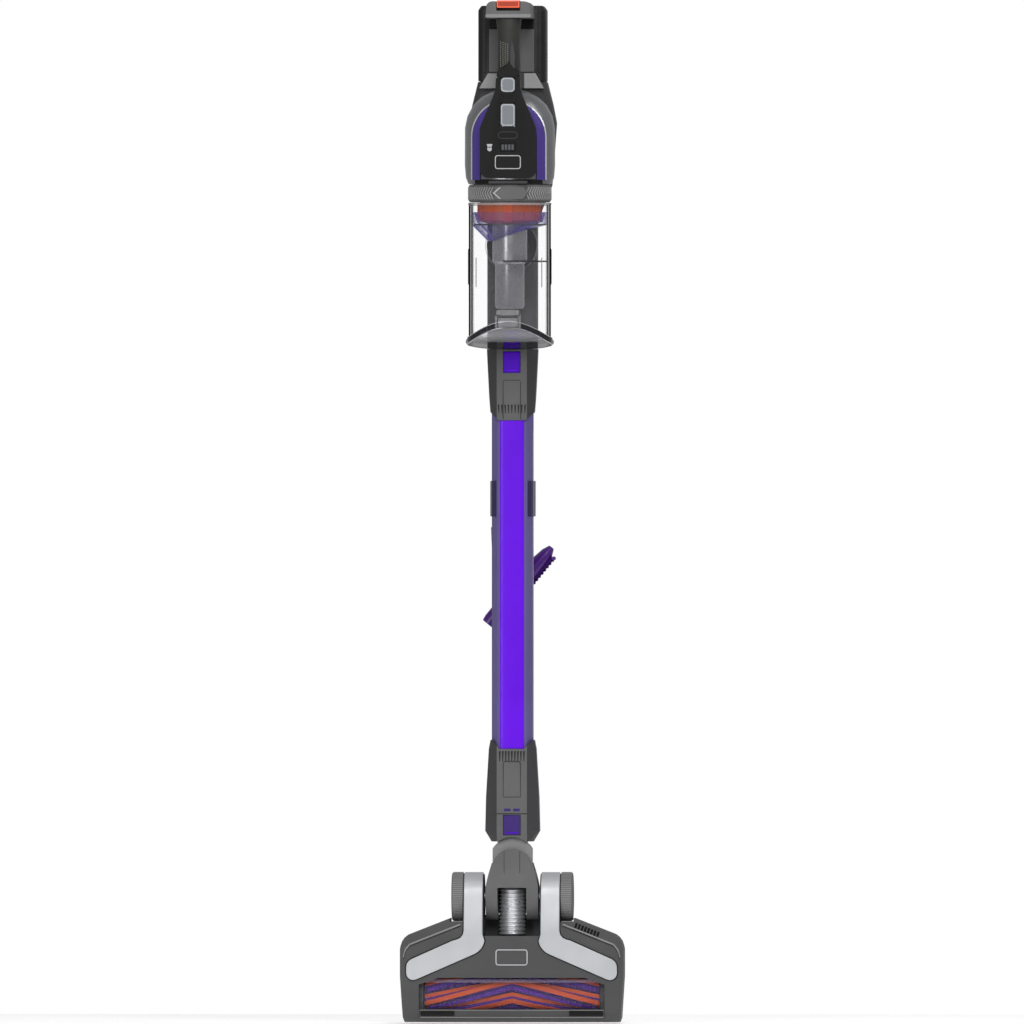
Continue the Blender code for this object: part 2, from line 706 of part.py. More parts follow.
def make_trims():
    """The two silver strips: down the wheel fairings, then outwards across the deck."""
    outline = [
        (32.6, 180),
        (32.6, 99),
        *arc((50, 95), 20, 190, 246, 4),
        *arc((110.5, 55.5), 8, 245, 360, 5),
        *arc((108.5, 62), 10, 0, 66, 3),
        (66, 92),
        *arc((64, 103), 10.2, 255, 180, 3),
        (53.8, 180),
    ]
    for name, side in (("left_trim", -1), ("right_trim", 1)):
        trim = slab(name, [(side * x, z) for x, z in outline], -60, 0, "Y", "silver")
        skin = deck_profile(2.4) + [(0, 130), (0, 0)]
        keep_inside(trim, slab("outside", skin, -140, 140, "X"))
        cut(trim, slab("inside", deck_profile(CLEAR) + [(20, 165), (20, 0)], -140, 140, "X"))


def make_wheels():
    for side, name in ((-1, "left"), (1, "right")):
        inner, outer = side * 54.5, side * 68
        profile = [
            (5.4, inner),
            (26.5, inner),
            (WHEEL_R, inner + side),
            (WHEEL_R, outer - side * 1.5),
            (26, outer),
            (16, outer),
            (14, outer - side * 3),
            (5.4, outer - side * 3),
        ]
        turned(f"{name}_wheel", profile, (0, 0, PITCH_Z), "X", "light_grey", sides=40)
        ends = sorted((side * 17.2, side * 66.5))
        rod(f"{name}_axle", 5, *ends, (0, 0, PITCH_Z), "X", "steel")


def chevron_ring(x, twist):
    """One section of the brush roll: fins round a sleeve, turned further towards each end."""
    ring = []
    fins = 6
    for i in range(fins * 5):
        share = i % 5
        radius = BRUSH_R if share in (1, 2) else (15.5 if share in (0, 3) else 14)
        angle = math.tau * (i / (fins * 5)) + twist
        ring.append((x, BRUSH_Y + radius * math.cos(angle), BRUSH_Z + radius * math.sin(angle)))
    return ring


def make_brush():
    stations = 17
    length = 2 * 98.6
    rings = []
    for i in range(stations):
        x = -length / 2 + length * i / (stations - 1)
        rings.append(chevron_ring(x, math.radians(70) * abs(x) / 100))
    roll = loft("brush_roll", rings, "orange")
    centre = (0, BRUSH_Y, BRUSH_Z)
    cut(roll, rod("core_gap", 5.4, -110, 110, centre, "X"))
    shaft = [(5, 106), (5, -111), (BRUSH_PULLEY_R, -111), (BRUSH_PULLEY_R, -117), (3, -117)]
    turned("brush_shaft", shaft, centre, "X", "steel", closed=False)

    motor = (0, BRUSH_MOTOR_Y, BRUSH_MOTOR_Z)
    can = rod("brush_motor", 13.5, -92, -44, motor, "X", "steel")
    gap = [(10.3, -48), (10.3, -87), (2.8, -87), (2.8, -100)]
    cut(can, turned("rotor_gap", gap, motor, "X", closed=False))
    pulley = [(9.8, -49), (9.8, -86), (2.5, -86), (2.5, -111)]
    pulley += [(MOTOR_PULLEY_R, -111), (MOTOR_PULLEY_R, -117), (2, -117)]
    turned("motor_pulley", pulley, motor, "X", "steel", closed=False, sides=24)
    make_belt()


def belt_loop(grow):
    """The outline of a belt round both pulleys, each grown by the same amount."""
    across = BRUSH_MOTOR_Y - BRUSH_Y
    rise = BRUSH_MOTOR_Z - BRUSH_Z
    lean = math.degrees(math.atan2(rise, across))
    spread = math.degrees(math.acos((BRUSH_PULLEY_R - MOTOR_PULLEY_R) / math.hypot(across, rise)))
    low = arc((BRUSH_Y, BRUSH_Z), BRUSH_PULLEY_R + grow, lean + spread, lean + 360 - spread, 16)
    high = arc((BRUSH_MOTOR_Y, BRUSH_MOTOR_Z), MOTOR_PULLEY_R + grow, lean - spread, lean + spread, 10)
    return low + high


def make_belt():
    inner, outer = belt_loop(0.4), belt_loop(2)
    rings = []
    for x, loop in ((-116.5, inner), (-116.5, outer), (-111.5, outer), (-111.5, inner)):
        rings.append([(x, y, z) for y, z in loop])
    loft("drive_belt", rings, "rubber", closed=True)


# ---------------------------------------------------------------- assembly

BODIES = {
    "handheld": (0, 0, UPPER_JOINT_Z),
    "fan_rotor": (0, BOWL_Y, 950),
    "ring": (0, BOWL_Y, RING_BOTTOM_Z),
    "bowl": (0, BOWL_Y, BOWL_TOP_Z),
    "flap": (0, -33.2, PORT_Z + PORT_R - 1),
    "door": (0, -29, 753),
    "latch": (0, BOWL_Y - BOWL_R - 4, 779),
    "battery": (0, 8, BATTERY_Z),
    "floor_assembly": (0, 0, LOWER_JOINT_Z),
    "neck": (0, 0, SWIVEL_Z),
    "head": (0, 0, PITCH_Z),
    "left_wheel_body": (-61, 0, PITCH_Z),
    "right_wheel_body": (61, 0, PITCH_Z),
    "brush": (0, BRUSH_Y, BRUSH_Z),
    "brush_rotor": (-68, BRUSH_MOTOR_Y, BRUSH_MOTOR_Z),
    "tool": (6, 28.4, 486),
}
MEMBERS = {
    "handheld": (
        "inlet_duct inlet_seal rear_shell motor_housing accent_band console_cover gauge_lens handle "
        "handle_bridge control_board motor_can terminal_block cyclone_tube separator_skirt "
        "filter_frame pleated_filter power_button boost_button battery_release"
    ),
    "fan_rotor": "motor_shaft fan_wheel",
    "ring": "filter_ring",
    "bowl": "dust_bowl",
    "flap": "inlet_flap",
    "door": "bowl_door",
    "latch": "door_latch",
    "battery": "battery_case battery_cells",
    "floor_assembly": "knuckle",
    "neck": "neck_front neck_rear",
    "head": (
        "head_shell sole_plate brush_window front_lens left_trim right_trim left_axle right_axle "
        "hose drive_belt brush_motor"
    ),
    "left_wheel_body": "left_wheel",
    "right_wheel_body": "right_wheel",
    "brush": "brush_roll brush_shaft",
    "brush_rotor": "motor_pulley",
    "tool": "accessory_body accessory_bristles",
}


def shade(made):
    """Smooth faces with their sharp edges kept."""
    made.data.shade_smooth()
    made.data.set_sharp_from_angle(angle=math.radians(35))


def assemble():
    """Parents each piece to its body's empty, on its joint, and all of them to the origin's."""
    origin = bpy.data.objects.new("wall_hook_origin", None)
    bpy.context.scene.collection.objects.link(origin)
    origin.location = Vector((0, -HOOK_Y, -HOOK_Z)) * MM
    pieces = [made for made in bpy.data.objects if made.type == "MESH"]
    for made in pieces:
        shade(made)
        made.parent = origin
    for body, joint in BODIES.items():
        pivot = bpy.data.objects.new(f"{body}_joint", None)
        bpy.context.scene.collection.objects.link(pivot)
        pivot.parent = origin
        pivot.location = Vector(joint) * MM
        for name in MEMBERS[body].split():
            piece = bpy.data.objects[name]
            piece.parent = pivot
            piece.location = -pivot.location


def main():
    for old in list(bpy.data.objects):
        bpy.data.objects.remove(old)
    make_wand()
    make_upper_connector()
    make_lower_connector()
    make_hanger()
    make_accessory_store()
    make_duct()
    make_bowl()
    make_bowl_door()
    make_separator()
    make_housing()
    make_motor()
    make_rear_shell()
    make_handle()
    make_battery()
    make_knuckle()
    make_neck()
    make_hose()
    make_head_shell()
    make_sole()
    make_window()
    make_trims()
    make_wheels()
    make_brush()
    assemble()


main()
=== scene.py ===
"""Looks for the cordless stick vacuum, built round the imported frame.

Measures in the helpers are millimetres: x from the middle, y from the wand's axis (minus is the
front), and h up from the floor head's front edge. `at` turns them into the frame's metres.
"""

import json
import math

import bmesh
import bpy
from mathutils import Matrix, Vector


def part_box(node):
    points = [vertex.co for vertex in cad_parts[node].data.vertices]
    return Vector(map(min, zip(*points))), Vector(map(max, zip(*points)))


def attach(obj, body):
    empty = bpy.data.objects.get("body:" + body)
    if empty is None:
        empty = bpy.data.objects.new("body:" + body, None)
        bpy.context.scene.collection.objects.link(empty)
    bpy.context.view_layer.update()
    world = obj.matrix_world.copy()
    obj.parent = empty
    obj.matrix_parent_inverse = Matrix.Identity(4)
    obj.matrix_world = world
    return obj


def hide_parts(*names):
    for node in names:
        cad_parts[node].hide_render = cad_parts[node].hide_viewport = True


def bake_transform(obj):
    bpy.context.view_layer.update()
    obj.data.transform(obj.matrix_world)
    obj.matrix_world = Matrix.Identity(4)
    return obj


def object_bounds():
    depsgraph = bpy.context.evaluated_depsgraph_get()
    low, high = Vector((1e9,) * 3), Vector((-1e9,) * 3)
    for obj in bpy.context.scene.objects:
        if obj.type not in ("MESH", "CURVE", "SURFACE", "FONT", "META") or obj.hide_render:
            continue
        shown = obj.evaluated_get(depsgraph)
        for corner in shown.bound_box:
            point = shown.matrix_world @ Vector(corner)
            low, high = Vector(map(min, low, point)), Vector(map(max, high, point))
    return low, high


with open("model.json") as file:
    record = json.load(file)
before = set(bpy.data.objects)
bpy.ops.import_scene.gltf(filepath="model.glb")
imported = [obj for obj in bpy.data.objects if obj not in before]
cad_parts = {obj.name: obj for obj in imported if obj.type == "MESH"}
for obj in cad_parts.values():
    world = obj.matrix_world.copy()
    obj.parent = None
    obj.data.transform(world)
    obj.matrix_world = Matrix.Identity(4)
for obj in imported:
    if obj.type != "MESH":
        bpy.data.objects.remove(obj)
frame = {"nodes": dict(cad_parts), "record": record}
CAD_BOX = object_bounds()

MM = 0.001
AMBIENT = 0.2  # light from the room, beside the lamps
TUBE_FRONT = 20  # from the wand's axis to the tube's front
BRUSH_ROWS = 6
CHEVRON_SLOPE = math.radians(0.7)  # turn of a brush row for each millimetre along it
EDGE_Z = CAD_BOX[0][2]
AXIS_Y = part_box("wand_tube")[0].y + TUBE_FRONT * MM
BODY_OF = {n: body for body, nodes in frame["record"]["behaviour"]["bodies"].items() for n in nodes}


def at(x, y, h):
    return Vector((x * MM, AXIS_Y + y * MM, EDGE_Z + h * MM))


def extent(node):
    """A node's box in the helpers' millimetres: (low x, low y, low h), (high x, high y, high h)."""
    low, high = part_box(node)
    return tuple(
        (corner.x / MM, (corner.y - AXIS_Y) / MM, (corner.z - EDGE_Z) / MM) for corner in (low, high)
    )


def middle(node, axis):
    low, high = extent(node)
    return (low[axis] + high[axis]) / 2


def half_size(node, axis):
    low, high = extent(node)
    return (high[axis] - low[axis]) / 2


PITCH_H = middle("left_wheel", 2)  # the wheels' axle, about which the head pitches
WHEEL_R = half_size("left_wheel", 2)
BOWL_Y = middle("filter_ring", 1)
BOWL_R = half_size("dust_bowl", 0)
RING_R = half_size("filter_ring", 0)
BRUSH_Y = middle("brush_roll", 1)
BRUSH_H = middle("brush_roll", 2)


# ---- materials ----


def linear(red, green, blue):
    """Screen colour, 0 to 255, as linear colour with full alpha."""
    parts = []
    for value in (red, green, blue):
        value /= 255
        parts.append(value / 12.92 if value <= 0.04045 else ((value + 0.055) / 1.055) ** 2.4)
    return (*parts, 1)


def material(name):
    made = bpy.data.materials.new(name)
    made.use_nodes = True
    return made, made.node_tree, made.node_tree.nodes["Principled BSDF"]


def preset(node, values):
    """Sets a node's inputs, as {name: value}."""
    for name, value in values.items():
        node.inputs[name].default_value = value


def feed(node, name, source):
    """Drives one of a node's inputs from another node's output."""
    node.id_data.links.new(source, node.inputs[name])


def noise(tree, scale, detail=3.0, stretch=None):
    """Noise in object space, in features per metre."""
    source = tree.nodes.new("ShaderNodeTexCoord").outputs["Object"]
    if stretch:
        mapping = tree.nodes.new("ShaderNodeMapping")
        preset(mapping, {"Scale": stretch})
        feed(mapping, "Vector", source)
        source = mapping.outputs["Vector"]
    texture = tree.nodes.new("ShaderNodeTexNoise")
    preset(texture, {"Scale": scale, "Detail": detail})
    feed(texture, "Vector", source)
    return texture.outputs["Fac"]


def ranged(tree, source, start, end, low=0.0, high=1.0):
    """A number that goes from low to high as source goes from start to end."""
    made = tree.nodes.new("ShaderNodeMapRange")
    preset(made, {"From Min": start, "From Max": end, "To Min": low, "To Max": high})
    feed(made, "Value", source)
    return made.outputs["Result"]


def ramp(tree, source, low, high, start=0.3, end=0.7):
    """A number or colour that goes from low to high as source goes from start to end."""
    if not isinstance(low, tuple):
        return ranged(tree, source, start, end, low, high)
    mix = tree.nodes.new("ShaderNodeMix")
    mix.data_type = "RGBA"
    preset(mix, {"A": low, "B": high})
    feed(mix, "Factor", ranged(tree, source, start, end))
    return mix.outputs["Result"]


def bump(tree, shader, source, strength, distance):
    made = tree.nodes.new("ShaderNodeBump")
    preset(made, {"Strength": strength, "Distance": distance})
    feed(made, "Height", source)
    feed(shader, "Normal", made.outputs["Normal"])


def shifted(colour, amount):
    return (*(min(1, max(0, part * (1 + amount))) for part in colour[:3]), 1)


def edge_wear(tree, colour, worn):
    """Rubbed edges: the surface's colour, paler where it is sharply convex."""
    shape = tree.nodes.new("ShaderNodeNewGeometry")
    mix = tree.nodes.new("ShaderNodeMix")
    mix.data_type = "RGBA"
    preset(mix, {"B": worn})
    feed(mix, "Factor", ranged(tree, shape.outputs["Pointiness"], 0.53, 0.66, 0, 0.5))
    feed(mix, "A", colour)
    return mix.outputs["Result"]


def moulded(name, colour, roughness=0.5, grain=0.25, metallic=0.0, coat=0.0, wear=0.0, shine=0.3):
    """Moulded plastic: fine grain, uneven gloss, slight colour drift and rubbed edges."""
    made, tree, shader = material(name)
    base = linear(*colour)
    drift = ramp(tree, noise(tree, 22), shifted(base, -0.05), shifted(base, 0.05))
    if wear:
        drift = edge_wear(tree, drift, shifted(base, wear))
    feed(shader, "Base Color", drift)
    feed(shader, "Roughness", ramp(tree, noise(tree, 70), roughness - 0.05, roughness + 0.06))
    preset(shader, {"Metallic": metallic, "Specular IOR Level": shine})
    preset(shader, {"Coat Weight": coat, "Coat Roughness": 0.12})
    bump(tree, shader, noise(tree, 1700, 2), grain, 0.00008)
    return made


def brushed(name, colour, roughness=0.3, stretch=(1, 1, 60)):
    """Turned or drawn metal with fine lines across the stretched direction."""
    made, tree, shader = material(name)
    base = linear(*colour)
    marks = noise(tree, 90, 4, stretch)
    feed(shader, "Base Color", ramp(tree, marks, shifted(base, -0.12), shifted(base, 0.1)))
    feed(shader, "Roughness", ramp(tree, marks, roughness - 0.06, roughness + 0.1))
    preset(shader, {"Metallic": 1.0})
    bump(tree, shader, marks, 0.2, 0.00005)
    return made


def clear_plastic(name, tint, edge, centre_alpha, edge_alpha, spread, shine=0.12):
    """Clear polycarbonate: see-through face on and dark where its wall is seen edge on."""
    made, tree, shader = material(name)
    weight = tree.nodes.new("ShaderNodeLayerWeight")
    preset(weight, {"Blend": 0.5})
    facing = weight.outputs["Facing"]
    scratches = noise(tree, 240, 2, (1, 1, 0.15))
    feed(shader, "Base Color", ramp(tree, facing, linear(*tint), linear(*edge), *spread))
    feed(shader, "Alpha", ramp(tree, facing, centre_alpha, edge_alpha, *spread))
    feed(shader, "Roughness", ramp(tree, scratches, 0.04, 0.12))
    preset(shader, {"IOR": 1.58, "Specular IOR Level": shine})
    bump(tree, shader, scratches, 0.05, 0.00004)
    made.surface_render_method = "BLENDED"
    return made


def pleated_paper(name):
    made, tree, shader = material(name)
    fibres = noise(tree, 900, 5)
    feed(shader, "Base Color", ramp(tree, fibres, linear(205, 203, 195), linear(228, 226, 220)))
    preset(shader, {"Roughness": 0.95})
    bump(tree, shader, fibres, 0.5, 0.0002)
    return made


def bristle_fibre(name, colour):
    made, tree, shader = material(name)
    base = linear(*colour)
    strands = noise(tree, 700, 4, (1, 0.15, 0.15))
    feed(shader, "Base Color", ramp(tree, strands, shifted(base, -0.45), shifted(base, 0.25)))
    preset(shader, {"Roughness": 0.6, "Sheen Weight": 0.05, "Specular IOR Level": 0.1})
    bump(tree, shader, strands, 0.4, 0.0003)
    return made


def circuit_board(name):
    made, tree, shader = material(name)
    tracks = noise(tree, 260, 1, (1, 1, 3))
    feed(shader, "Base Color", ramp(tree, tracks, linear(20, 84, 44), linear(46, 122, 66), 0.48, 0.52))
    preset(shader, {"Roughness": 0.35})
    bump(tree, shader, tracks, 0.3, 0.0001)
    return made


def lit_window(name, colour, strength):
    """A lens that glows evenly from behind, with moulded-in speckle."""
    made, tree, shader = material(name)
    base = linear(*colour)
    speckle = ramp(tree, noise(tree, 600, 2), shifted(base, -0.2), shifted(base, 0.1))
    feed(shader, "Base Color", speckle)
    feed(shader, "Emission Color", speckle)
    preset(shader, {"Emission Strength": strength, "Roughness": 0.25})
    return made


GREY = moulded("dark_grey_plastic", (96, 96, 97), 0.5, wear=0.15)
DECK_GREY = moulded("deck_plastic", (77, 77, 78), 0.5, wear=0.15, shine=0.2)
# dark grey plastic for several parts, and also the painted shade on the connectors' sideways faces
GREY_DARK_AND_SIDE_SHADE = moulded("darker_grey_plastic_and_painted_side_shade", (64, 64, 66), 0.5, shine=0.2)
SHOULDER_GREY = moulded("shoulder_plastic", (154, 154, 155), 0.42)
# light grey plastic for several parts, and also for painted highlights
LIGHT_GREY_AND_HIGHLIGHT = moulded("mid_grey_plastic_and_painted_highlight", (132, 132, 133), 0.42, wear=0.1)
CHARCOAL = moulded("charcoal_plastic", (52, 52, 54), 0.42, wear=0.1)
BATTERY_BLACK = moulded("battery_plastic", (34, 34, 35), 0.42, wear=0.3, shine=0.2)
DOCK_GREY = moulded("dock_plastic", (88, 88, 90), 0.4)
CONSOLE_BLACK = moulded("console_plastic", (24, 24, 24), 0.36, 0.1, wear=0.2, shine=0.12)
# black for black parts, and for painted shadow in slots, hollows, grooves and gaps
BLACK_AND_SHADOW = moulded("black_and_painted_shadow", (10, 10, 11), 0.7)
GRIP = moulded("grip_plastic", (54, 54, 52), 0.5, 0.5, wear=0.2, shine=0.15)
GRIP_DASH = moulded("grip_dash", (120, 120, 112), 0.5)
SILVER = moulded("silver_paint", (138, 139, 142), 0.3, 0.08, metallic=0.85)
SILVER_BRIGHT = moulded("bright_silver_paint", (190, 192, 195), 0.4, 0.02, metallic=0.3)
# bright silver for the line round the accent band, and for painted highlights
SILVER_LINE_AND_HIGHLIGHT = moulded("silver_line_and_painted_highlight", (222, 222, 226), 0.25, 0.05, metallic=0.6)
KEY_PAD = moulded("key_pad", (126, 130, 136), 0.45, 0.02)
KEY_SILVER = moulded("key_silver", (150, 155, 162), 0.4, 0.02)
PURPLE = moulded("bright_purple_paint", (106, 22, 232), 0.36, 0.05, coat=0.1, shine=0.1)
PURPLE_KEY = moulded("key_purple", (82, 12, 198), 0.4, 0.1, shine=0.1)
PURPLE_DULL = moulded("dull_purple", (64, 46, 116), 0.4, 0.2, shine=0.15)
BAND_PURPLE = moulded("band_purple", (76, 60, 136), 0.36, 0.1, shine=0.2)
WAND_SIDE = moulded("wand_anodised", (100, 90, 144), 0.4, 0.1, shine=0.15)
TOOL_PURPLE = moulded("tool_purple", (74, 28, 122), 0.36, 0.2, coat=0.2, wear=0.35)
CLIP_PURPLE = moulded("clip_purple", (46, 38, 84), 0.42, 0.2, shine=0.15)
CLIP_GREY = moulded("clip_grey", (104, 102, 110), 0.42, 0.2)
ORANGE = moulded("orange_plastic", (192, 74, 26), 0.45, 0.15, shine=0.1)
ORANGE_FILTER = moulded("filter_orange", (182, 82, 38), 0.45, 0.15, shine=0.1)
ORANGE_DARK = moulded("release_orange", (172, 56, 28), 0.42, 0.15)
ORANGE_FRAME = moulded("release_frame_orange", (248, 104, 62), 0.4, 0.15)
TUBE_GREY = moulded("cyclone_grey", (150, 150, 156), 0.26, 0.1, metallic=0.6)
RING_GREY = moulded("ring_grey", (98, 98, 99), 0.46)
KNURL_GREY = moulded("knurl_grey", (150, 150, 151), 0.44)
WHEEL_GREY = moulded("wheel_rubber", (134, 134, 135), 0.55, 0.5)
WHEEL_DARK = moulded("wheel_groove", (104, 104, 105), 0.6, 0.4)
SEAL_BLACK = moulded("seal_rubber", (16, 16, 17), 0.6, 0.4, shine=0.1)
LINE_GREY = moulded("printed_line", (186, 186, 188), 0.5, 0.1)
LINE_DARK = moulded("dark_line", (46, 46, 48), 0.6, 0.1, shine=0.1)
HOSE_SILVER = moulded("hose_silver", (214, 215, 218), 0.3, 0.1, metallic=0.8)
CORE_PURPLE = moulded("core_purple", (70, 22, 120), 0.5, 0.3, shine=0.1)
STEEL = brushed("machined_steel", (170, 171, 174))
CLEAR = clear_plastic("bowl_clear", (236, 236, 240), (8, 8, 10), 0.02, 0.98, (0.6, 0.76), 0.0)
CLEAR_THICK = clear_plastic("door_clear", (226, 226, 230), (20, 20, 24), 0.18, 0.9, (0.45, 0.85))
GASKET = clear_plastic("gasket_dark", (46, 46, 50), (16, 16, 18), 0.88, 0.97, (0.2, 0.9))
WINDOW_CLEAR = clear_plastic("window_clear", (230, 222, 236), (60, 50, 72), 0.03, 0.5, (0.4, 0.95))
# a pale see-through band painted on the brush window as a reflection
PAINTED_REFLECTION = clear_plastic("window_painted_reflection", (222, 206, 236), (160, 140, 190), 0.3, 0.5, (0.4, 0.95))
SKIRT_CLEAR = clear_plastic("skirt_purple", (100, 88, 165), (78, 60, 200), 0.16, 0.95, (0.42, 0.85))
PAPER = pleated_paper("pleated_paper")
BRISTLE_PURPLE = bristle_fibre("purple_bristle", (82, 22, 150))
TOOL_BRISTLE = bristle_fibre("tool_bristle", (66, 28, 108))
BOARD = circuit_board("board_green")
GAUGE_LIT = lit_window("gauge_light", (72, 74, 80), 0.05)


# ---- shape helpers ----


def finish_piece(made, surface, body, edge=0.0, rounds=2, smooth=40):
    """Gives a piece its material, soft edges and body."""
    made.data.materials.clear()
    made.data.materials.append(surface)
    if edge:
        step = made.modifiers.new("soft_edges", "BEVEL")
        step.width = edge * MM
        step.segments = rounds
        step.limit_method = "ANGLE"
        step.angle_limit = math.radians(32)
        step.harden_normals = False
    made.data.shade_smooth()
    made.data.set_sharp_from_angle(angle=math.radians(smooth))
    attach(made, body)
    return made


def placed(name, data):
    """A new object in the scene, with this mesh, light or camera."""
    made = bpy.data.objects.new(name, data)
    bpy.context.scene.collection.objects.link(made)
    return made


def raw(name, points, faces):
    """A closed mesh object from points in helper millimetres."""
    mesh = bpy.data.meshes.new(name)
    mesh.from_pydata([at(*point) for point in points], [], faces)
    shaped = bmesh.new()
    shaped.from_mesh(mesh)
    bmesh.ops.recalc_face_normals(shaped, faces=shaped.faces)
    shaped.to_mesh(mesh)
    shaped.free()
    return placed(name, mesh)


def loft(name, rings, closed=False):
    count = len(rings[0])
    points = [point for ring in rings for point in ring]
    faces = []
    for row in range(len(rings) if closed else len(rings) - 1):
        low, high = row * count, (row + 1) % len(rings) * count
        for i in range(count):
            after = (i + 1) % count
            faces.append((low + i, low + after, high + after, high + i))
    if not closed:
        faces.append(tuple(reversed(range(count))))
        faces.append(tuple(range(len(points) - count, len(points))))
    return raw(name, points, faces)


def slab(name, outline, start, end, axis="Y"):
    """An outline extruded: (x, h) along Y, (y, h) along X, or (x, y) along Z."""
    place = {
        "Y": lambda a, b, t: (a, t, b),
        "X": lambda a, b, t: (t, a, b),
        "Z": lambda a, b, t: (a, b, t),
    }[axis]
    return loft(name, [[place(a, b, t) for a, b in outline] for t in (start, end)])


def block(name, x, y, h):
    outline = [(x[0], y[0]), (x[1], y[0]), (x[1], y[1]), (x[0], y[1])]
    return slab(name, outline, h[0], h[1], "Z")


def turned(name, profile, centre, axis="Z", closed=True, sides=64):
    """A profile of (radius, place along the axis) spun about an axis through centre."""
    rings = []
    for radius, along in profile:
        ring = []
        for i in range(sides):
            angle = math.tau * i / sides
            a, b = radius * math.cos(angle), radius * math.sin(angle)
            ring.append({
                "Z": (centre[0] + a, centre[1] + b, along),
                "X": (along, centre[1] + a, centre[2] + b),
                "Y": (centre[0] + b, along, centre[2] + a),
            }[axis])
        rings.append(ring)
    return loft(name, rings, closed)


def arc(centre, radius, start, end, steps):
    found = []
    for step in range(steps + 1):
        angle = math.radians(start + (end - start) * step / steps)
        found.append((centre[0] + radius * math.cos(angle), centre[1] + radius * math.sin(angle)))
    return found


def rounded(x, h, radius, steps=4):
    """A rounded rectangle from (low, high) pairs, as an outline."""
    corners = ((x[1], h[0], -90), (x[1], h[1], 0), (x[0], h[1], 90), (x[0], h[0], 180))
    found = []
    for corner_x, corner_h, start in corners:
        inside = (
            corner_x - math.copysign(radius, corner_x - (x[0] + x[1]) / 2),
            corner_h - math.copysign(radius, corner_h - (h[0] + h[1]) / 2),
        )
        found += arc(inside, radius, start, start + 90, steps)
    return found


def outline_frame(name, x, h, radius, width, y, thick=0.5):
    """A raised rounded-rectangle line, like a printed or moulded border."""
    outer = rounded(x, h, radius)
    inner = rounded((x[0] + width, x[1] - width), (h[0] + width, h[1] - width), max(radius - width, 0.2))
    rings = []
    for depth, loop in ((y, inner), (y, outer), (y + thick, outer), (y + thick, inner)):
        rings.append([(a, depth, b) for a, b in loop])
    return loft(name, rings, closed=True)


def combine(target, others, operation):
    for other in others:
        step = target.modifiers.new(other.name, "BOOLEAN")
        step.operation = operation
        step.object = other
        step.solver = "EXACT"
    graph = bpy.context.evaluated_depsgraph_get()
    mesh = bpy.data.meshes.new_from_object(target.evaluated_get(graph))
    target.modifiers.clear()
    target.data = mesh
    for other in others:
        bpy.data.objects.remove(other)
    return target


def cut(target, *cutters):
    return combine(target, cutters, "DIFFERENCE")


def merged(name, parts):
    """Several loose shapes as one piece."""
    mesh = bpy.data.meshes.new(name)
    shaped = bmesh.new()
    for part in parts:
        shaped.from_mesh(part.data)
        bpy.data.objects.remove(part)
    shaped.to_mesh(mesh)
    shaped.free()
    return placed(name, mesh)


def copy_of(node):
    """A node's mesh as a new object, with its flat areas made whole again."""
    mesh = frame["nodes"][node].data.copy()
    mesh.name = f"{node}_skin"
    shaped = bmesh.new()
    shaped.from_mesh(mesh)
    bmesh.ops.remove_doubles(shaped, verts=shaped.verts, dist=0.000002)
    bmesh.ops.dissolve_limit(
        shaped, angle_limit=math.radians(0.7), verts=shaped.verts, edges=shaped.edges
    )
    shaped.to_mesh(mesh)
    shaped.free()
    return placed(mesh.name, mesh)


def dress(node, surface, edge=0.5, cutters=(), smooth=40, rounds=2):
    """A node's own shape with soft edges and any cut detail, standing in for the node."""
    made = copy_of(node)
    if cutters:
        cut(made, *cutters)
    finish_piece(made, surface, BODY_OF[node], edge, rounds, smooth)
    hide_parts(node)
    return made


def add(made, surface, node, edge=0.0, rounds=2, smooth=40):
    """A detail that rides with a node."""
    return finish_piece(made, surface, BODY_OF[node], edge, rounds, smooth)


def grown(node, amount):
    """A node's shape with its surface moved outwards, to cut a skin with."""
    made = copy_of(node)
    for point in made.data.vertices:
        point.co += point.normal * amount * MM
    return made


def keep_inside(target, *others):
    return combine(target, others, "INTERSECT")


def paint_side_shade(made, surface, steepness=0.45, front_only=True):
    """Painted side shade: a darker second material on the faces that look sideways."""
    made.data.materials.append(surface)
    for face in made.data.polygons:
        if abs(face.normal.x) > steepness and (face.normal.y < 0 or not front_only):
            face.material_index = 1


def lines(name, strokes, y, depth=0.4, width=0.5):
    """Thin straight strips on a front face, from ((x, h), (x, h)) pairs: grooves, ribs, and painted lines of
    shade and highlight.
    """
    parts = []
    for i, (start, end) in enumerate(strokes):
        along = Vector((end[0] - start[0], end[1] - start[1])).normalized() * width / 2
        side = Vector((-along.y, along.x))
        corners = [Vector(start) + side, Vector(start) - side, Vector(end) - side, Vector(end) + side]
        parts.append(slab(f"{name}_{i}", [(c.x, c.y) for c in corners], y, y + depth))
    return merged(name, parts)


def recolour(surface, *nodes):
    for node in nodes:
        made = frame["nodes"][node]
        made.data.materials.clear()
        made.data.materials.append(surface)
        made.data.shade_smooth()
        made.data.set_sharp_from_angle(angle=math.radians(40))


# ---- shared details ----


def front_of(node):
    return extent(node)[0][1]


def span(sign, near, far):
    """A (low, high) pair of x from near to far, on the right (1) or the left (-1)."""
    return sorted((sign * near, sign * far))


def box_section(inner, outer, low, high):
    """A rectangle for a band or a turned piece, as (radius, place along the axis)."""
    return [(inner, low), (outer, low), (outer, high), (inner, high)]


def add_all(name, parts, surface, node, edge=0.0):
    """Several loose shapes added as one piece."""
    return add(merged(name, parts), surface, node, edge)


def replacement(made, surface, node, edge, rounds):
    """A newly drawn shape that stands in for a node."""
    finish_piece(made, surface, BODY_OF[node], edge, rounds)
    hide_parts(node)


def button_lip(name, node, inset, lift, surface):
    """The raised lip near the foot of a release button."""
    (x0, y0, h0), (x1, _, _) = extent(node)
    outline = rounded((x0 + inset, x1 - inset), (h0 + lift, h0 + lift + 1.4), 0.6)
    add(slab(name, outline, y0 - 0.35, y0 + 0.4), surface, node, 0.2)


# ---- battery, handle and console ----


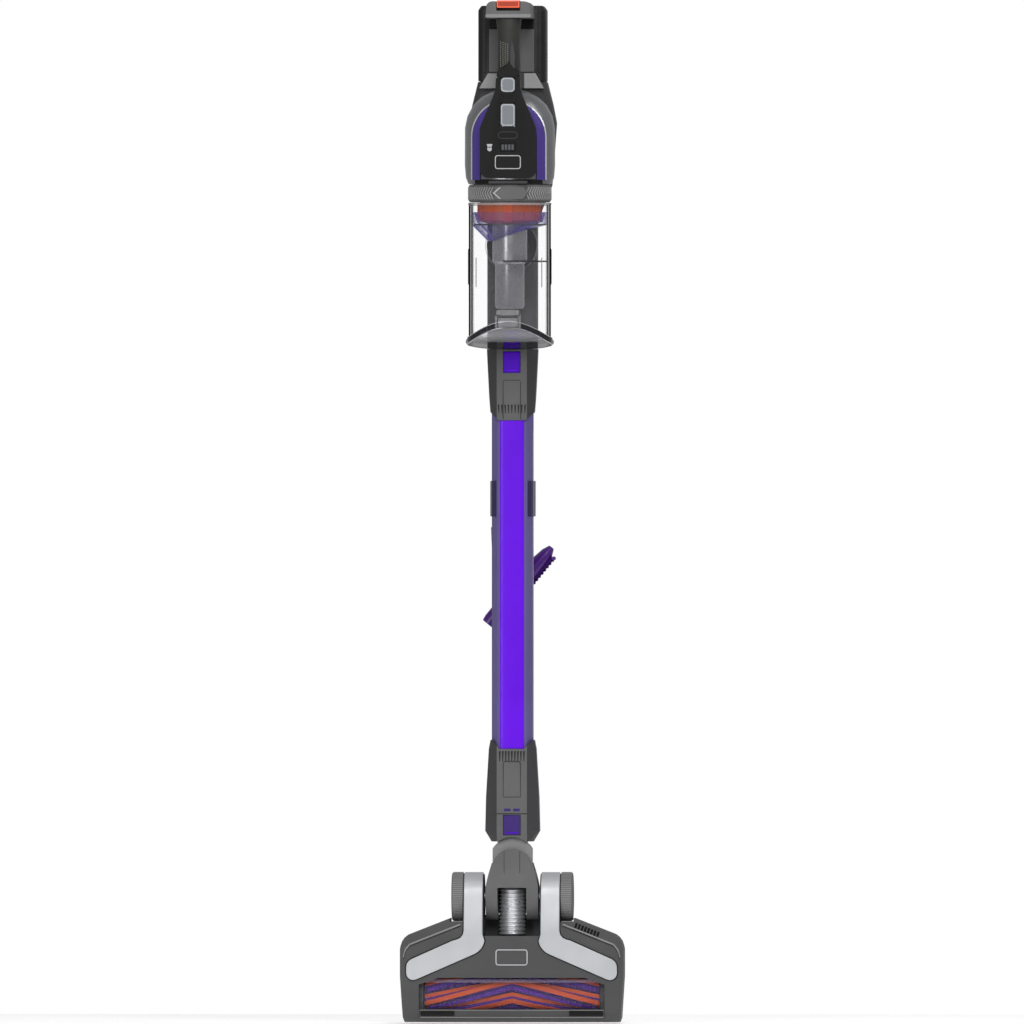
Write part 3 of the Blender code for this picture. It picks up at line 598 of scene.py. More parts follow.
def battery():
    dress("battery_case", BATTERY_BLACK, 1.2, rounds=3)
    (_, front, bottom), (side, _, top) = extent("battery_case")
    first_vent, vent_pitch, vent_height = bottom + 1.5, 4, 2.4
    # the vent slots are black insets: painted shade in place of open slots
    vents = []
    for i in range(11):
        h = first_vent + i * vent_pitch
        vents.append(block(f"vent_{i}", (side - 0.6, side + 0.15), (-16, -11), (h, h + vent_height)))
    add_all("battery_vents", vents, BLACK_AND_SHADOW, "battery_case")
    rails = []
    for sign in (-1, 1):
        outline = rounded(span(sign, 29, 33), (bottom + 9.5, top - 3.5), 1.8)
        rails.append(slab(f"rail_{sign}", outline, front - 0.7, front + 1))
    add_all("battery_rails", rails, BATTERY_BLACK, "battery_case", 0.4)


def handle():
    """The grip, with its finger dashes, thumb facet and the console's tongue."""
    dress("handle", GRIP, 0.8, smooth=50)
    front = front_of("handle")
    dash_top, row_pitch, column_drop = 1099, 2.1, 0.8
    dashes = []
    for column, x in enumerate((-8.4, -5.8, -3.2, -0.6)):
        for row in range(14 - column):
            h = dash_top - row * row_pitch - column * column_drop
            name = f"dash_{column}_{row}"
            dashes.append(block(name, (x - 0.7, x + 0.7), (front - 0.25, front + 3), (h, h + 0.8)))
    add_all("grip_dashes", dashes, GRIP_DASH, "handle")
    facet = [(2, 1068), (7.5, 1067), (7.8, 1085), (5.5, 1098), (3.8, 1101), (2.4, 1092)]
    add(slab("grip_facet", facet, front - 0.2, front + 3), GREY_DARK_AND_SIDE_SHADE, "handle", 0.4)
    foot = extent("console_cover")[1][2] - 1
    tongue = [
        (-13.2, foot), (13.2, foot), (12.4, foot + 5.5), (6, foot + 10),
        (0.8, foot + 17.5), (-5, foot + 10), (-12.4, foot + 5.5),
    ]
    add(slab("console_tongue", tongue, front - 0.4, front + 7.5), CONSOLE_BLACK, "handle", 0.8, 3)


def bridge():
    """The bridge over the handle, the dock behind it and the orange release."""
    (_, front, bottom), (half, _, _) = extent("handle_bridge")
    dress("handle_bridge", GREY, 0.9, rounds=4)
    outline = rounded((0.3 - half, half - 0.3), (bottom + 0.2, bottom + 4.6), 2)
    add(slab("bridge_rim", outline, front - 0.5, front + 2), LIGHT_GREY_AND_HIGHLIGHT, "handle_bridge", 0.7, 3)
    plate = front_of("rear_shell")
    pocket_foot = 1115.5
    # painted shadow: black pieces in the hollows under the bridge, either side of the handle
    pocket_shadows = [
        block(f"pocket_{sign}", span(sign, 10.5, 25), (plate - 0.6, plate + 1.8), (pocket_foot, bottom - 0.3))
        for sign in (-1, 1)
    ]
    add_all("dock_pocket_shadows", pocket_shadows, BLACK_AND_SHADOW, "rear_shell")
    outline = rounded((-25.4, 25.4), (1067, pocket_foot - 0.5), 1)
    add(slab("dock_face", outline, plate - 0.4, plate + 1.5), DOCK_GREY, "rear_shell", 0.3)
    (x0, y0, h0), (x1, _, h1) = extent("battery_release")
    dress("battery_release", ORANGE_DARK, 0.8, rounds=3)
    gap = 0.2
    rim = outline_frame("release_rim", (x0 + gap, x1 - gap), (h0 + gap, h1 - gap), 1.2, 1.5, y0 - 0.5, 1.0)
    add(rim, ORANGE_FRAME, "battery_release", 0.2)


def key(node, radius):
    """A silver push key with a bright rim round its pad."""
    (x0, y0, h0), (x1, y1, h1) = extent(node)
    y0 += 0.4
    skin = slab(f"{node}_skin", rounded((x0, x1), (h0, h1), radius), y0, y1)
    replacement(skin, KEY_SILVER, node, 0.5, 3)
    sides, ends = (x0 + 0.8, x1 - 0.8), (h0 + 0.8, h1 - 0.8)
    add(outline_frame(f"{node}_rim", sides, ends, radius, 0.7, y0 - 0.3), SILVER_BRIGHT, node, 0.15)
    outline = rounded((x0 + 2, x1 - 2), (h0 + 2, h1 - 2), radius * 0.6)
    add(slab(f"{node}_pad", outline, y0 - 0.15, y0 + 0.5), KEY_PAD, node, 0.1)


def console():
    """The cover with two keys, blank outlines, the lit gauge and a plain mark beside it."""
    face = front_of("console_cover")
    dress("console_cover", CONSOLE_BLACK, 1.6, rounds=4)
    key("power_button", 3)
    key("boost_button", 4)
    step = slab("console_step", rounded((-9.5, 9.5), (1031.5, 1041.5), 2), face - 0.2, face + 0.8)
    add(step, BLACK_AND_SHADOW, "console_cover", 0.3)
    label = outline_frame("label_line", (-11, 11), (991, 999), 3.9, 0.7, face - 0.3)
    add(label, CHARCOAL, "console_cover")
    badge = outline_frame("badge_line", (-14.5, 14.5), (957, 972.5), 3, 1.0, face - 0.35)
    add(badge, LINE_GREY, "console_cover")
    dress("gauge_lens", BLACK_AND_SHADOW, 0.3)
    (_, _, lens_foot), (_, _, lens_top) = extent("gauge_lens")
    lamps = []
    for i, x in enumerate((-7.1, -3.4, 0.3, 4.0)):
        outline = rounded((x, x + 2.6), (lens_foot + 1.3, lens_top - 1.3), 0.8)
        lamps.append(slab(f"lamp_{i}", outline, face - 0.1, face + 0.5))
    add_all("gauge_lamps", lamps, GAUGE_LIT, "gauge_lens")
    dot = box_section(0.3, 2.6, face - 0.2, face + 0.4)
    stem = [(-22.5, 981), (-18.5, 981), (-17.3, 985), (-23.7, 985)]
    mark = [
        turned("mark_round", dot, (-20.5, 0, 979.5), "Y", False, 20),
        slab("mark_stem", stem, face - 0.2, face + 0.4),
    ]
    add_all("filter_mark", mark, LINE_GREY, "console_cover")


# ---- motor housing and rear shell ----


def arch_outline(half_x, top, bottom):
    return [(-half_x, bottom), (half_x, bottom), *arc((0, top - half_x), half_x, 0, 180, 24)]


def housing():
    dress("motor_housing", SILVER, 0.6, smooth=60, rounds=3)
    dress("accent_band", BAND_PURPLE, 0.3, smooth=60)
    (_, _, band_foot), (half, _, band_top) = extent("accent_band")
    rim = slab("accent_rim", arch_outline(half + 1.7, band_top + 1.7, band_foot), -140, -76)
    keep_inside(rim, grown("motor_housing", 1.1))
    cut(
        rim,
        slab("band_gap", arch_outline(half + 0.2, band_top + 0.2, band_foot - 10), -150, -60),
        grown("motor_housing", 0.05),
    )
    add(rim, SILVER_LINE_AND_HIGHLIGHT, "motor_housing", smooth=60)
    bottom = extent("motor_housing")[0][2]
    gap = block("shadow_gap", (-38, 38), (-123, -100), (bottom + 0.2, bottom + 5))
    keep_inside(gap, grown("motor_housing", 0.5))
    add(gap, BLACK_AND_SHADOW, "motor_housing")
    lip = slab("ring_lock", rounded((-22, 22), (bottom - 0.1, bottom + 3.4), 1.2), -123.4, -119)
    add(lip, CHARCOAL, "motor_housing", 0.5, 3)


def rear_shell():
    dress("rear_shell", GREY_DARK_AND_SIDE_SHADE, 1.5, rounds=3)
    plate = front_of("rear_shell")
    foot = extent("battery_case")[0][2] - 8
    top = foot + 17
    panels = []
    for sign in (-1, 1):
        outline = [(sign * x, h) for x, h in ((36.4, foot), (26.6, top), (14, top), (14, foot))]
        panels.append(slab(f"panel_{sign}", outline, plate - 0.6, plate + 1))
    add_all("shoulder_panels", panels, SHOULDER_GREY, "rear_shell", 0.6)
    recolour(BOARD, "control_board")
    recolour(STEEL, "motor_can", "motor_shaft")
    recolour(CONSOLE_BLACK, "terminal_block", "fan_wheel")


# ---- bowl and filter ----


def round_bowl(angle, radius):
    """A place on a circle round the bowl's axis; 0 degrees is the right and -90 the front."""
    turn = math.radians(angle)
    return radius * math.cos(turn), BOWL_Y + radius * math.sin(turn)


def band(name, section, angles, edge=None):
    """A strip round the bowl's axis. section lists (radius, height), raised by edge(y) if given."""
    rings = []
    for angle in angles:
        lift = edge(round_bowl(angle, BOWL_R)[1]) if edge else 0
        rings.append([(*round_bowl(angle, radius), h + lift) for radius, h in section])
    return loft(name, rings)


def bowl_edge(y):
    """Height of the bowl's lower edge, as in the frame: gentle at the back, curled up at the front."""
    ahead = max(0, -88 - y) / 33
    return 766.5 - 0.13 * (y - BOWL_Y) + 12.6 * ahead * ahead


def steps(start, end, count):
    return [start + (end - start) * i / count for i in range(count + 1)]


def knurl(name, angle, centre, lean):
    """One leaning rib of the ring's grip, from the middle up (1) or down (-1)."""
    points = []
    for h, shift in ((centre, 0), (centre + lean * 7, 4.6)):
        for side in (-0.9, 0.9):
            for radius in (RING_R - 0.4, RING_R + 0.5):
                points.append((*round_bowl(angle + shift + side, radius), h))
    faces = [(0, 1, 3, 2), (4, 5, 7, 6), (0, 1, 5, 4), (2, 3, 7, 6), (0, 2, 6, 4), (1, 3, 7, 5)]
    return raw(name, points, faces)


def filter_ring():
    dress("filter_ring", RING_GREY, 0.4, rounds=3)
    centre = middle("filter_ring", 2)
    ridges = []
    knurl_count, front_angle, plain_half = 84, 270, 24
    for i in range(knurl_count):
        angle = 360 * i / knurl_count
        if abs((angle - front_angle + 180) % 360 - 180) >= plain_half:
            ridges += [knurl(f"knurl_{i}_{lean}", angle, centre, lean) for lean in (-1, 1)]
    add_all("ring_knurls", ridges, KNURL_GREY, "filter_ring")
    front = front_of("filter_ring")
    bottom, top = centre - 7, centre + 7
    outline = [(-15, bottom), (17, bottom), (22, centre), (17, top), (-15, top)]
    add(slab("ring_plate", outline, front - 0.2, front + 6), RING_GREY, "filter_ring", 0.4)
    bottom, top = centre - 6.5, centre + 6.5
    arrow = [(-17, centre), (-9.5, top), (-7.9, top), (-15, centre), (-7.9, bottom), (-9.5, bottom)]
    add(slab("ring_arrow", arrow, front - 0.5, front + 3.5), LINE_GREY, "filter_ring")


def bowl():
    dress("dust_bowl", CLEAR, 0.3, smooth=50)
    top = extent("dust_bowl")[1][2]
    inner = BOWL_R - 2.6
    full_turn = steps(-180, 180, 64)
    pad = [(BOWL_R - 0.3, 827), (BOWL_R + 0.8, 829), (BOWL_R + 0.8, 867), (BOWL_R - 0.3, 869)]
    grips = [band(f"grip_{angle}", pad, steps(angle - 12, angle + 12, 8)) for angle in (0, 180)]
    add_all("bowl_grips", grips, CLEAR, "dust_bowl", 0.2)
    seam = box_section(inner - 0.5, inner + 0.4, 825, 858)
    seams = [band(f"seam_{angle}", seam, (angle - 0.6, angle + 0.6)) for angle in (-32, -148)]
    add_all("bowl_seams", seams, LINE_GREY, "dust_bowl")
    lip = [(BOWL_R - 0.2, top - 3), (BOWL_R + 0.6, top - 2.4), (BOWL_R + 0.6, top - 0.4), (BOWL_R - 0.2, top)]
    add(band("bowl_top_lip", lip, full_turn), CLEAR_THICK, "dust_bowl")
    tube = extent("cyclone_tube")[1][0] + 1.3
    fin = [(tube, 852.6), (inner + 0.2, 853.2), (inner + 0.2, 854.8), (tube, 854.2)]
    add(band("bowl_fin", fin, steps(-98, 22, 24)), GASKET, "dust_bowl")


def door():
    """The door with its dark gasket, two painted highlight lines along its rim and a lip at either side."""
    dress("bowl_door", CLEAR_THICK, 0.5, smooth=50, rounds=3)
    rim = BOWL_R + 1.6
    gasket = [
        (rim - 2.4, -4.8), (rim - 0.1, -5.1), (rim + 0.3, -2.6), (rim, 0.9),
        (rim - 1.4, 0.9), (rim - 1.4, -0.4), (rim - 2.4, -0.4),
    ]
    add(band("door_gasket", gasket, steps(-202, 22, 56), bowl_edge), GASKET, "bowl_door")
    # painted highlights: two bright lines round the door's rim, above and below the gasket
    for name, h in (("upper", 1.2), ("lower", -5.5)):
        highlight_band = box_section(rim - 0.9, rim + 0.2, h - 0.35, h + 0.35)
        add(band(f"door_highlight_line_{name}", highlight_band, steps(-196, 16, 56), bowl_edge), SILVER_LINE_AND_HIGHLIGHT, "bowl_door")
    line = box_section(rim - 0.9, rim + 0.1, -5.4, -4.5)
    add(band("door_line", line, steps(0, 180, 40), bowl_edge), CHARCOAL, "bowl_door")
    tip = [(rim - 1, -5), (rim + 1.4, -4.6), (rim + 1.9, -2.6), (rim + 1.2, -0.8), (rim - 1, -0.3)]
    tips = [band(f"tip_{angle}", tip, steps(angle - 13, angle + 13, 6), bowl_edge) for angle in (0, 180)]
    add_all("door_side_lips", tips, CLEAR_THICK, "bowl_door", 0.3)


def latch():
    (x0, y0, h0), (x1, y1, h1) = extent("door_latch")
    y0 += 0.6
    corner = 4
    outline = [
        (x0, h0), (x1, h0), (x1, h1 - corner), (x1 - corner, h1), (x0 + corner, h1), (x0, h1 - corner),
    ]
    replacement(slab("door_latch_skin", outline, y0, y1), CLEAR_THICK, "door_latch", 0.8, 3)
    for name, inset, ends, radius, width in (
        ("latch_edge", 0.4, (h1 - 9, h1 - 0.4), 2.5, 0.9),
        ("latch_foot", 2.4, (h0 + 0.4, h1 - 9.6), 2, 0.8),
    ):
        border = outline_frame(name, (x0 + inset, x1 - inset), ends, radius, width, y0 - 0.3)
        add(border, GASKET, "door_latch")
    # painted highlights: two pale squares near the top of the clear latch
    shine = [
        block(f"shine_{sign}", span(sign, 8.5, 11.5), (y0 - 0.5, y0 + 0.5), (h1 - 7, h1 - 2.5))
        for sign in (-1, 1)
    ]
    add_all("latch_highlights", shine, LIGHT_GREY_AND_HIGHLIGHT, "door_latch", 0.3)


def separator():
    dress("cyclone_tube", TUBE_GREY, 0.6, smooth=45)
    dress("separator_skirt", SKIRT_CLEAR, 0.5, smooth=45)
    dress("filter_frame", ORANGE_FILTER, 0.5, smooth=45)
    recolour(PAPER, "pleated_filter")
    dress("inlet_seal", BLACK_AND_SHADOW, 0.6)
    dress("inlet_flap", BLACK_AND_SHADOW, 0.4)
    front = front_of("inlet_seal")
    ring = box_section(28.4, 29.9, front - 0.6, front + 1.2)
    port = (0, 0, middle("inlet_seal", 2))
    add(turned("port_ring", ring, port, "Y"), CLEAR_THICK, "inlet_seal", 0.3)
    frame_r = extent("filter_frame")[1][0]
    fin = box_section(frame_r - 0.4, frame_r + 1.4, 900.5, 919)
    ribs = []
    for i in range(12):
        angle = -90 + 30 * i
        ribs.append(band(f"fin_{i}", fin, (angle - 1.4, angle + 1.4)))
    outline = [(-6.4, 919), (-6.4, 899.5), (-3.2, 898), (2.2, 898), (5, 899.5), (5, 919)]
    ribs.append(slab("front_rib", outline, BOWL_Y - frame_r - 1.6, BOWL_Y - frame_r + 1))
    add_all("filter_frame_ribs", ribs, ORANGE, "filter_frame", 0.3)
    line = box_section(42.9, 43.3, 894.6, 896)
    add(band("skirt_line", line, steps(-180, 180, 64)), CHARCOAL, "separator_skirt")


# ---- wand ----


def small_slots(name, node, places, h, y, size=(3.4, 1.6)):
    marks = [
        block(f"{name}_{i}", (x - size[0] / 2, x + size[0] / 2), (y - 0.15, y + 0.5), (h, h + size[1]))
        for i, x in enumerate(places)
    ]
    add_all(name, marks, PURPLE_DULL, node)


def dress_connector(node):
    made = dress(node, GREY, 0.8, rounds=3)
    # painted shade: the connector's sideways front faces take the darker grey
    paint_side_shade(made, GREY_DARK_AND_SIDE_SHADE)


def panel_outline(name, node, half_x, h, y):
    """The thin groove round a connector's flat panel, as an arch open at its foot."""
    radius = 2.5
    bottom, top = h
    strokes = [
        ((-half_x, bottom), (-half_x, top - radius)),
        ((half_x, bottom), (half_x, top - radius)),
        ((-half_x + radius, top), (half_x - radius, top)),
    ]
    for sign in (-1, 1):
        start = 0 if sign > 0 else 90
        turn = arc((sign * (half_x - radius), top - radius), radius, start, start + 90, 3)
        strokes += list(zip(turn, turn[1:]))
    add(lines(name, strokes, y, 0.6, 0.55), LINE_DARK, node)


def rib_row(name, node, pitch, h, y, spread=0.0):
    """Nine tapered finger grooves; spread tips the outer ones outwards."""
    grooves = []
    for i, place in enumerate(range(-4, 5)):
        x = pitch * place
        tip = x * (1 + spread)
        outline = [(tip - 0.35, h[0]), (tip + 0.35, h[0]), (x + 0.95, h[1]), (x - 0.95, h[1])]
        grooves.append(slab(f"{name}_{i}", outline, y, y + 1))
    add_all(name, grooves, LINE_DARK, node)


def upper_connector():
    dress_connector("upper_connector")
    dress("upper_release_button", PURPLE_KEY, 0.9, rounds=3)
    bottom = extent("upper_connector")[0][2]
    panel_outline("upper_panel", "upper_connector", 9.8, (bottom + 1, bottom + 45), -23.75)
    rib_row("upper_ribs", "upper_connector", 3.75, (bottom + 8, bottom + 17.5), -23.1, -0.03)
    button_lip("upper_button_lip", "upper_release_button", 3, 1.6, PURPLE)


def duct():
    """The inlet duct behind the bowl, its latch catch and the hook plate on the wand's back."""
    front = front_of("inlet_duct")
    small_slots("upper_marks", "inlet_duct", (-4.5, 4.5), 757.6, front - 0.2)
    catch = slab("latch_catch", rounded((-9.4, 9.4), (760, 776), 2), front - 1.2, front + 0.6)
    add(catch, PURPLE_DULL, "inlet_duct", 0.5)
    dress("hanger_plate", GREY_DARK_AND_SIDE_SHADE, 1.0, rounds=3)
    dress("inlet_duct", GREY_DARK_AND_SIDE_SHADE, 2.5, rounds=4)


def wand():
    dress("wand_tube", WAND_SIDE, 0.5, rounds=3)
    dress("wand_strip", PURPLE, 0.2, rounds=2)
    side = extent("wand_tube")[1][0]
    (_, _, bottom), (_, _, top) = extent("wand_strip")
    edge = block("wand_edge", (side - 0.15, side + 0.15), (-7.2, -5.4), (bottom + 12, top - 12))
    add(edge, LINE_GREY, "wand_tube")


def collar():
    dress("clip_collar", CLIP_GREY, 0.9, rounds=3)
    low, high = extent("clip_collar")
    pads = []
    for sign in (-1, 1):
        left, right = span(sign, 18.2, 21.6)
        ends = (-18.4, -12)[::sign]
        outline = [(left, ends[0]), (right, ends[1]), (right, -8), (left, -8)]
        pads.append(slab(f"pad_{sign}", outline, low[2], high[2], "Z"))
    add_all("collar_pads", pads, CLIP_PURPLE, "clip_collar", 0.5)
    dress("accessory_clip", GREY_DARK_AND_SIDE_SHADE, 0.8, rounds=3)
    catch = slab("clip_catch", [(-24.4, 556), (-22.8, 556), (-22.8, 534), (-23.4, 534)], -4, 6)
    add(catch, KNURL_GREY, "wand_tube", 0.2)


def accessory():
    """The tool on its clip: a row of rounded teeth on a root, and a nub at the tip."""
    dress("accessory_body", TOOL_PURPLE, 0.9, smooth=50, rounds=3)
    dress("accessory_bristles", TOOL_BRISTLE, 0.3)
    (x0, near, h0), (x1, far, h1) = extent("accessory_bristles")
    lean = math.radians(50.7)
    along = Vector((math.cos(lean), 0, math.sin(lean)))
    across = Vector((-along.z, 0, along.x))
    diagonal = Vector((x1 - x0, 0, h1 - h0))
    reach = diagonal.dot(along)
    first = Vector((x0, 0, h0)) + across * diagonal.dot(across) * 0.5
    corners = ((1.2, -1.7), (-0.6, -1.7), (-1.9, -0.7), (-1.9, 0.7), (-0.6, 1.7), (1.2, 1.7))
    count = 11
    teeth = []
    for i in range(count):
        centre = first + along * (reach * (i + 0.5) / count)
        ring = [centre + across * a + along * b for a, b in corners]
        teeth.append(loft(f"tooth_{i}", [[(p.x, y, p.z) for p in ring] for y in (near, far)]))
    ends = [first - along * 0.5, first + along * (reach + 0.5)]
    root = [ends[0] - across * 0.6, ends[1] - across * 0.6, ends[1] + across * 2.6, ends[0] + across * 2.6]
    teeth.append(loft("tooth_root", [[(p.x, y, p.z) for p in root] for y in (near + 1, far - 1)]))
    add_all("accessory_teeth", teeth, TOOL_BRISTLE, "accessory_bristles", 0.2)
    tip = (x1 + 0.2, 0, h1 + 0.5)
    nub = turned("accessory_nub", box_section(0.5, 2.2, near - 2, far - 1), tip, "Y", False, 20)
    add(nub, TOOL_PURPLE, "accessory_body", 0.4)


def lower_connector():
    dress_connector("lower_connector")
    dress("lower_release_button", PURPLE_DULL, 0.9, rounds=3)
    half, foot, rib_foot, face = 9.7, 253, 293, -24.05
    rib_row("lower_ribs", "lower_connector", 3.4, (rib_foot, rib_foot + 11.5), face + 0.55)
    panel_outline("lower_panel", "lower_connector", half, (foot, rib_foot), face)
    line = lines("lower_panel_foot", [((-half, foot), (half, foot))], face - 0.15, 0.6, 0.55)
    add(line, LINE_DARK, "lower_connector")
    seam_h = 234.2
    seam = lines("lower_seam", [((-17, seam_h), (17, seam_h))], face - 0.15, 0.6, 0.8)
    add(seam, BLACK_AND_SHADOW, "lower_connector")
    small_slots("lower_marks", "lower_connector", (-5.2, 5.2), seam_h + 2.8, face, (7.2, 3))
    button_lip("lower_button_lip", "lower_release_button", 2.5, 1.4, PURPLE_KEY)


# ---- neck and floor head ----


def neck():
    dress("knuckle", LIGHT_GREY_AND_HIGHLIGHT, 0.8, smooth=50)
    dress("neck_front", GREY, 1.0, smooth=50, rounds=3)
    dress("neck_rear", GREY, 1.0, smooth=50, rounds=3)
    front = -21.15
    strokes = [((x, 160), (x, 192)) for x in (-8.8, 8.8)]
    add(lines("neck_lines", strokes, front, 0.6, 0.5), LINE_DARK, "neck_front")
    lip = slab("neck_lip", rounded((-6, 6), (157.6, 158.8), 0.5), front - 1.6, front)
    add(lip, LIGHT_GREY_AND_HIGHLIGHT, "neck_front", 0.2)


def hose():
    """The corrugated hose, finer than its solid, between neck and head."""
    low, high = extent("hose")
    bottom, top = low[2], high[2]
    folds, points_per_fold = 12, 8
    pitch = (top - bottom) / folds
    valley, fold_depth, bore = 13.1, 2.2, 11.6
    outer = []
    for i in range(folds * points_per_fold + 1):
        wave = 0.5 - 0.5 * math.cos(math.tau * i / points_per_fold)
        outer.append((valley + fold_depth * wave ** 0.6, bottom + pitch * i / points_per_fold))
    made = turned("hose_skin", outer + [(bore, top), (bore, bottom)], (0, 0, 0), sides=48)
    made.data.materials.append(HOSE_SILVER)
    made.data.shade_smooth()
    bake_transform(made)
    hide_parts("hose")


def trim_groove(node, width=1.5, sink=1.9):
    """The dark line round a trim, painted shade in its groove: a wider black copy of it, sunk until only its
    edge shows.
    """
    made = copy_of(node)
    pivot = at(0, 0, PITCH_H)
    for point in made.data.vertices:
        place = point.co
        h = (place.z - EDGE_Z) / MM
        push = Vector((point.normal.x, 0, point.normal.z if h < PITCH_H - 20 else 0))
        inward = Vector((0, 1, 0))
        if h > PITCH_H:
            inward = (pivot - Vector((pivot.x, place.y, place.z))).normalized()
        point.co = place + (push * width + inward * sink) * MM
    made.name = f"{node}_groove"
    return add(made, BLACK_AND_SHADOW, "head_shell")


def round_brush(turn, radius):
    """(y, h) on a circle round the brush's axis; a turn of 0 is the back, in radians."""
    return BRUSH_Y + radius * math.cos(turn), BRUSH_H + radius * math.sin(turn)


def window_painted_reflection(reach=27.7, turns=(30, 34, 38)):
    """A painted reflection: a pale band on the window above the brush, at degrees up from the front."""
    section = [(reach, turn) for turn in turns] + [(reach - 0.4, turn) for turn in reversed(turns)]
    edge = [round_brush(math.pi - math.radians(turn), radius) for radius, turn in section]
    add(loft("window_painted_reflection", [[(x, *place) for place in edge] for x in (-100, 100)]), PAINTED_REFLECTION, "brush_window")


def head_vents():
    """Slanted slots at the right of the deck: the cutters, and black backs behind them as painted shade
    inside the slots.
    """
    cutters, shade_insets = [], []
    for i in range(8):
        x, h = 69.2 + i * 3.5, 103.6 - i * 1.42
        outline = [(x, h), (x + 2.5, h - 0.9), (x + 5.5, h + 7.6), (x + 3, h + 8.5)]
        cutters.append(slab(f"vent_{i}", outline, -40, -26))
        shade_insets.append(slab(f"vent_back_{i}", outline, -28.2, -26.2))
    return cutters, shade_insets


def head():
    cutters, shade_insets = head_vents()
    dress("head_shell", DECK_GREY, 1.4, cutters, smooth=50, rounds=3)
    add_all("vent_shade_insets", shade_insets, BLACK_AND_SHADOW, "head_shell")
    deck = front_of("head_shell")
    # painted shade and highlight along the deck's rounded shoulders: a dark line in the crease and a pale
    # band just above it
    shoulder = ((121.4, 71), (119.4, 79.5), (114.5, 85.5), (57.5, 108))
    for name, lift, width, surface in (("crease_shade", 0, 0.8, LINE_DARK), ("shine", 2.2, 1.8, LIGHT_GREY_AND_HIGHLIGHT)):
        strokes = []
        for sign in (-1, 1):
            path = [(sign * x, h + lift) for x, h in shoulder]
            strokes += list(zip(path, path[1:]))
        add(lines(f"shoulder_{name}", strokes, deck - 0.4, 0.8, width), surface, "head_shell", 0.2)
    for node in ("left_trim", "right_trim"):
        dress(node, SILVER_BRIGHT, 0.8, smooth=60, rounds=3)
        trim_groove(node)
    badge = outline_frame("deck_badge", (-18, 18), (64, 82), 3.2, 1.1, deck - 0.35, 0.7)
    add(badge, LINE_GREY, "head_shell")
    dress("sole_plate", GREY_DARK_AND_SIDE_SHADE, 0.8)


def brush_front():
    """The clear window over the brush, the caps at its ends and the strip along the foot."""
    caps = [block(f"brush_cap_{sign}", span(sign, 99.3, 104.6), (-22, 17), (13, 53)) for sign in (-1, 1)]
    add_all("brush_caps", caps, CHARCOAL, "head_shell", 0.3)
    dress("brush_window", WINDOW_CLEAR, 0.4)
    window_painted_reflection()
    dress("front_lens", DECK_GREY, 0.4)
    (_, face, foot), (_, _, top) = extent("front_lens")
    ends = [
        block(f"lens_end_{sign}", span(sign, 64.5, 102.5), (face - 0.3, face + 1), (foot + 1.9, top - 1.5))
        for sign in (-1, 1)
    ]
    add_all("lens_ends", ends, CONSOLE_BLACK, "front_lens", 0.2)
    strokes = [((-103, h), (103, h)) for h in (top - 0.6, foot + 0.3)]
    add(lines("lens_lines", strokes, face, 0.6, 0.8), LIGHT_GREY_AND_HIGHLIGHT, "front_lens", 0.2)
    recolour(STEEL, "left_axle", "right_axle", "brush_motor", "motor_pulley", "brush_shaft")
    recolour(SEAL_BLACK, "drive_belt")


def wheels():
    rib_count, inner, outer = 72, 55.3, 66.6
    rib = ((-0.75, -0.5), (0.75, -0.5), (0.5, 0.2), (-0.5, 0.2))
    for side, name in ((-1, "left_wheel"), (1, "right_wheel")):
        dress(name, WHEEL_DARK, 0.6, rounds=3)
        ribs = []
        for i in range(rib_count):
            points = []
            for along, past in rib:
                turn = math.tau * i / rib_count + along / WHEEL_R
                reach = WHEEL_R + past
                points.append((reach * math.cos(turn), PITCH_H + reach * math.sin(turn)))
            ribs.append(slab(f"tread_{i}", points, *span(side, inner, outer), "X"))
        add_all(f"{name}_tread", ribs, WHEEL_GREY, name)


def chevron_turn(row, x):
    """How far round the brush a row has come at x, where the rows run to a point in the middle."""
    return math.tau * row / BRUSH_ROWS + CHEVRON_SLOPE * abs(x)


def chevron(name, radii, spread, offset, half):
    """Orange strips along the brush that follow its chevron, between two radii."""
    pitch = 2.0
    strips = []
    for row in range(BRUSH_ROWS):
        rings = []
        for x in steps(-half, half, int(2 * half / pitch)):
            angle = chevron_turn(row + offset, x)
            ring = []
            for radius, side in ((radii[0], -1), (radii[1], -1), (radii[1], 1), (radii[0], 1)):
                ring.append((x, *round_brush(angle + side * spread / radius, radius)))
            rings.append(ring)
        strips.append(loft(f"{name}_{row}", rings))
    add_all(name, strips, ORANGE, "brush_roll", 0.3)


def tuft(name, x, angle):
    """A bundle of bristles, wider at its tip."""
    rings = []
    for radius, spread in ((13, 1.9), (19, 2.3), (22.4, 2.7)):
        ring = []
        for k in range(6):
            turn = math.tau * k / 6
            off = angle + spread * math.sin(turn) / radius
            ring.append((x + spread * 0.85 * math.cos(turn), *round_brush(off, radius)))
        rings.append(ring)
    return loft(name, rings)


def brush():
    """A purple core with orange chevron fins, and rows of purple bristle tufts between them."""
    dress("brush_roll", CORE_PURPLE, 0.4, smooth=55)
    half = extent("brush_roll")[1][0]
    chevron("brush_fins", (15, 22.7), 2.7, 0.3, half - 0.4)
    chevron("brush_strips", (13.6, 18), 2.2, 0.98, half - 0.4)
    pitch = 4.2
    count = int((half - 5) / pitch)
    tufts = []
    for row in range(BRUSH_ROWS):
        for i in range(-count, count + 1):
            x = i * pitch
            tufts.append(tuft(f"tuft_{row}_{i}", x, chevron_turn(row + 0.66, x)))
    add_all("brush_tufts", tufts, BRISTLE_PURPLE, "brush_roll")


# ---- stage ----


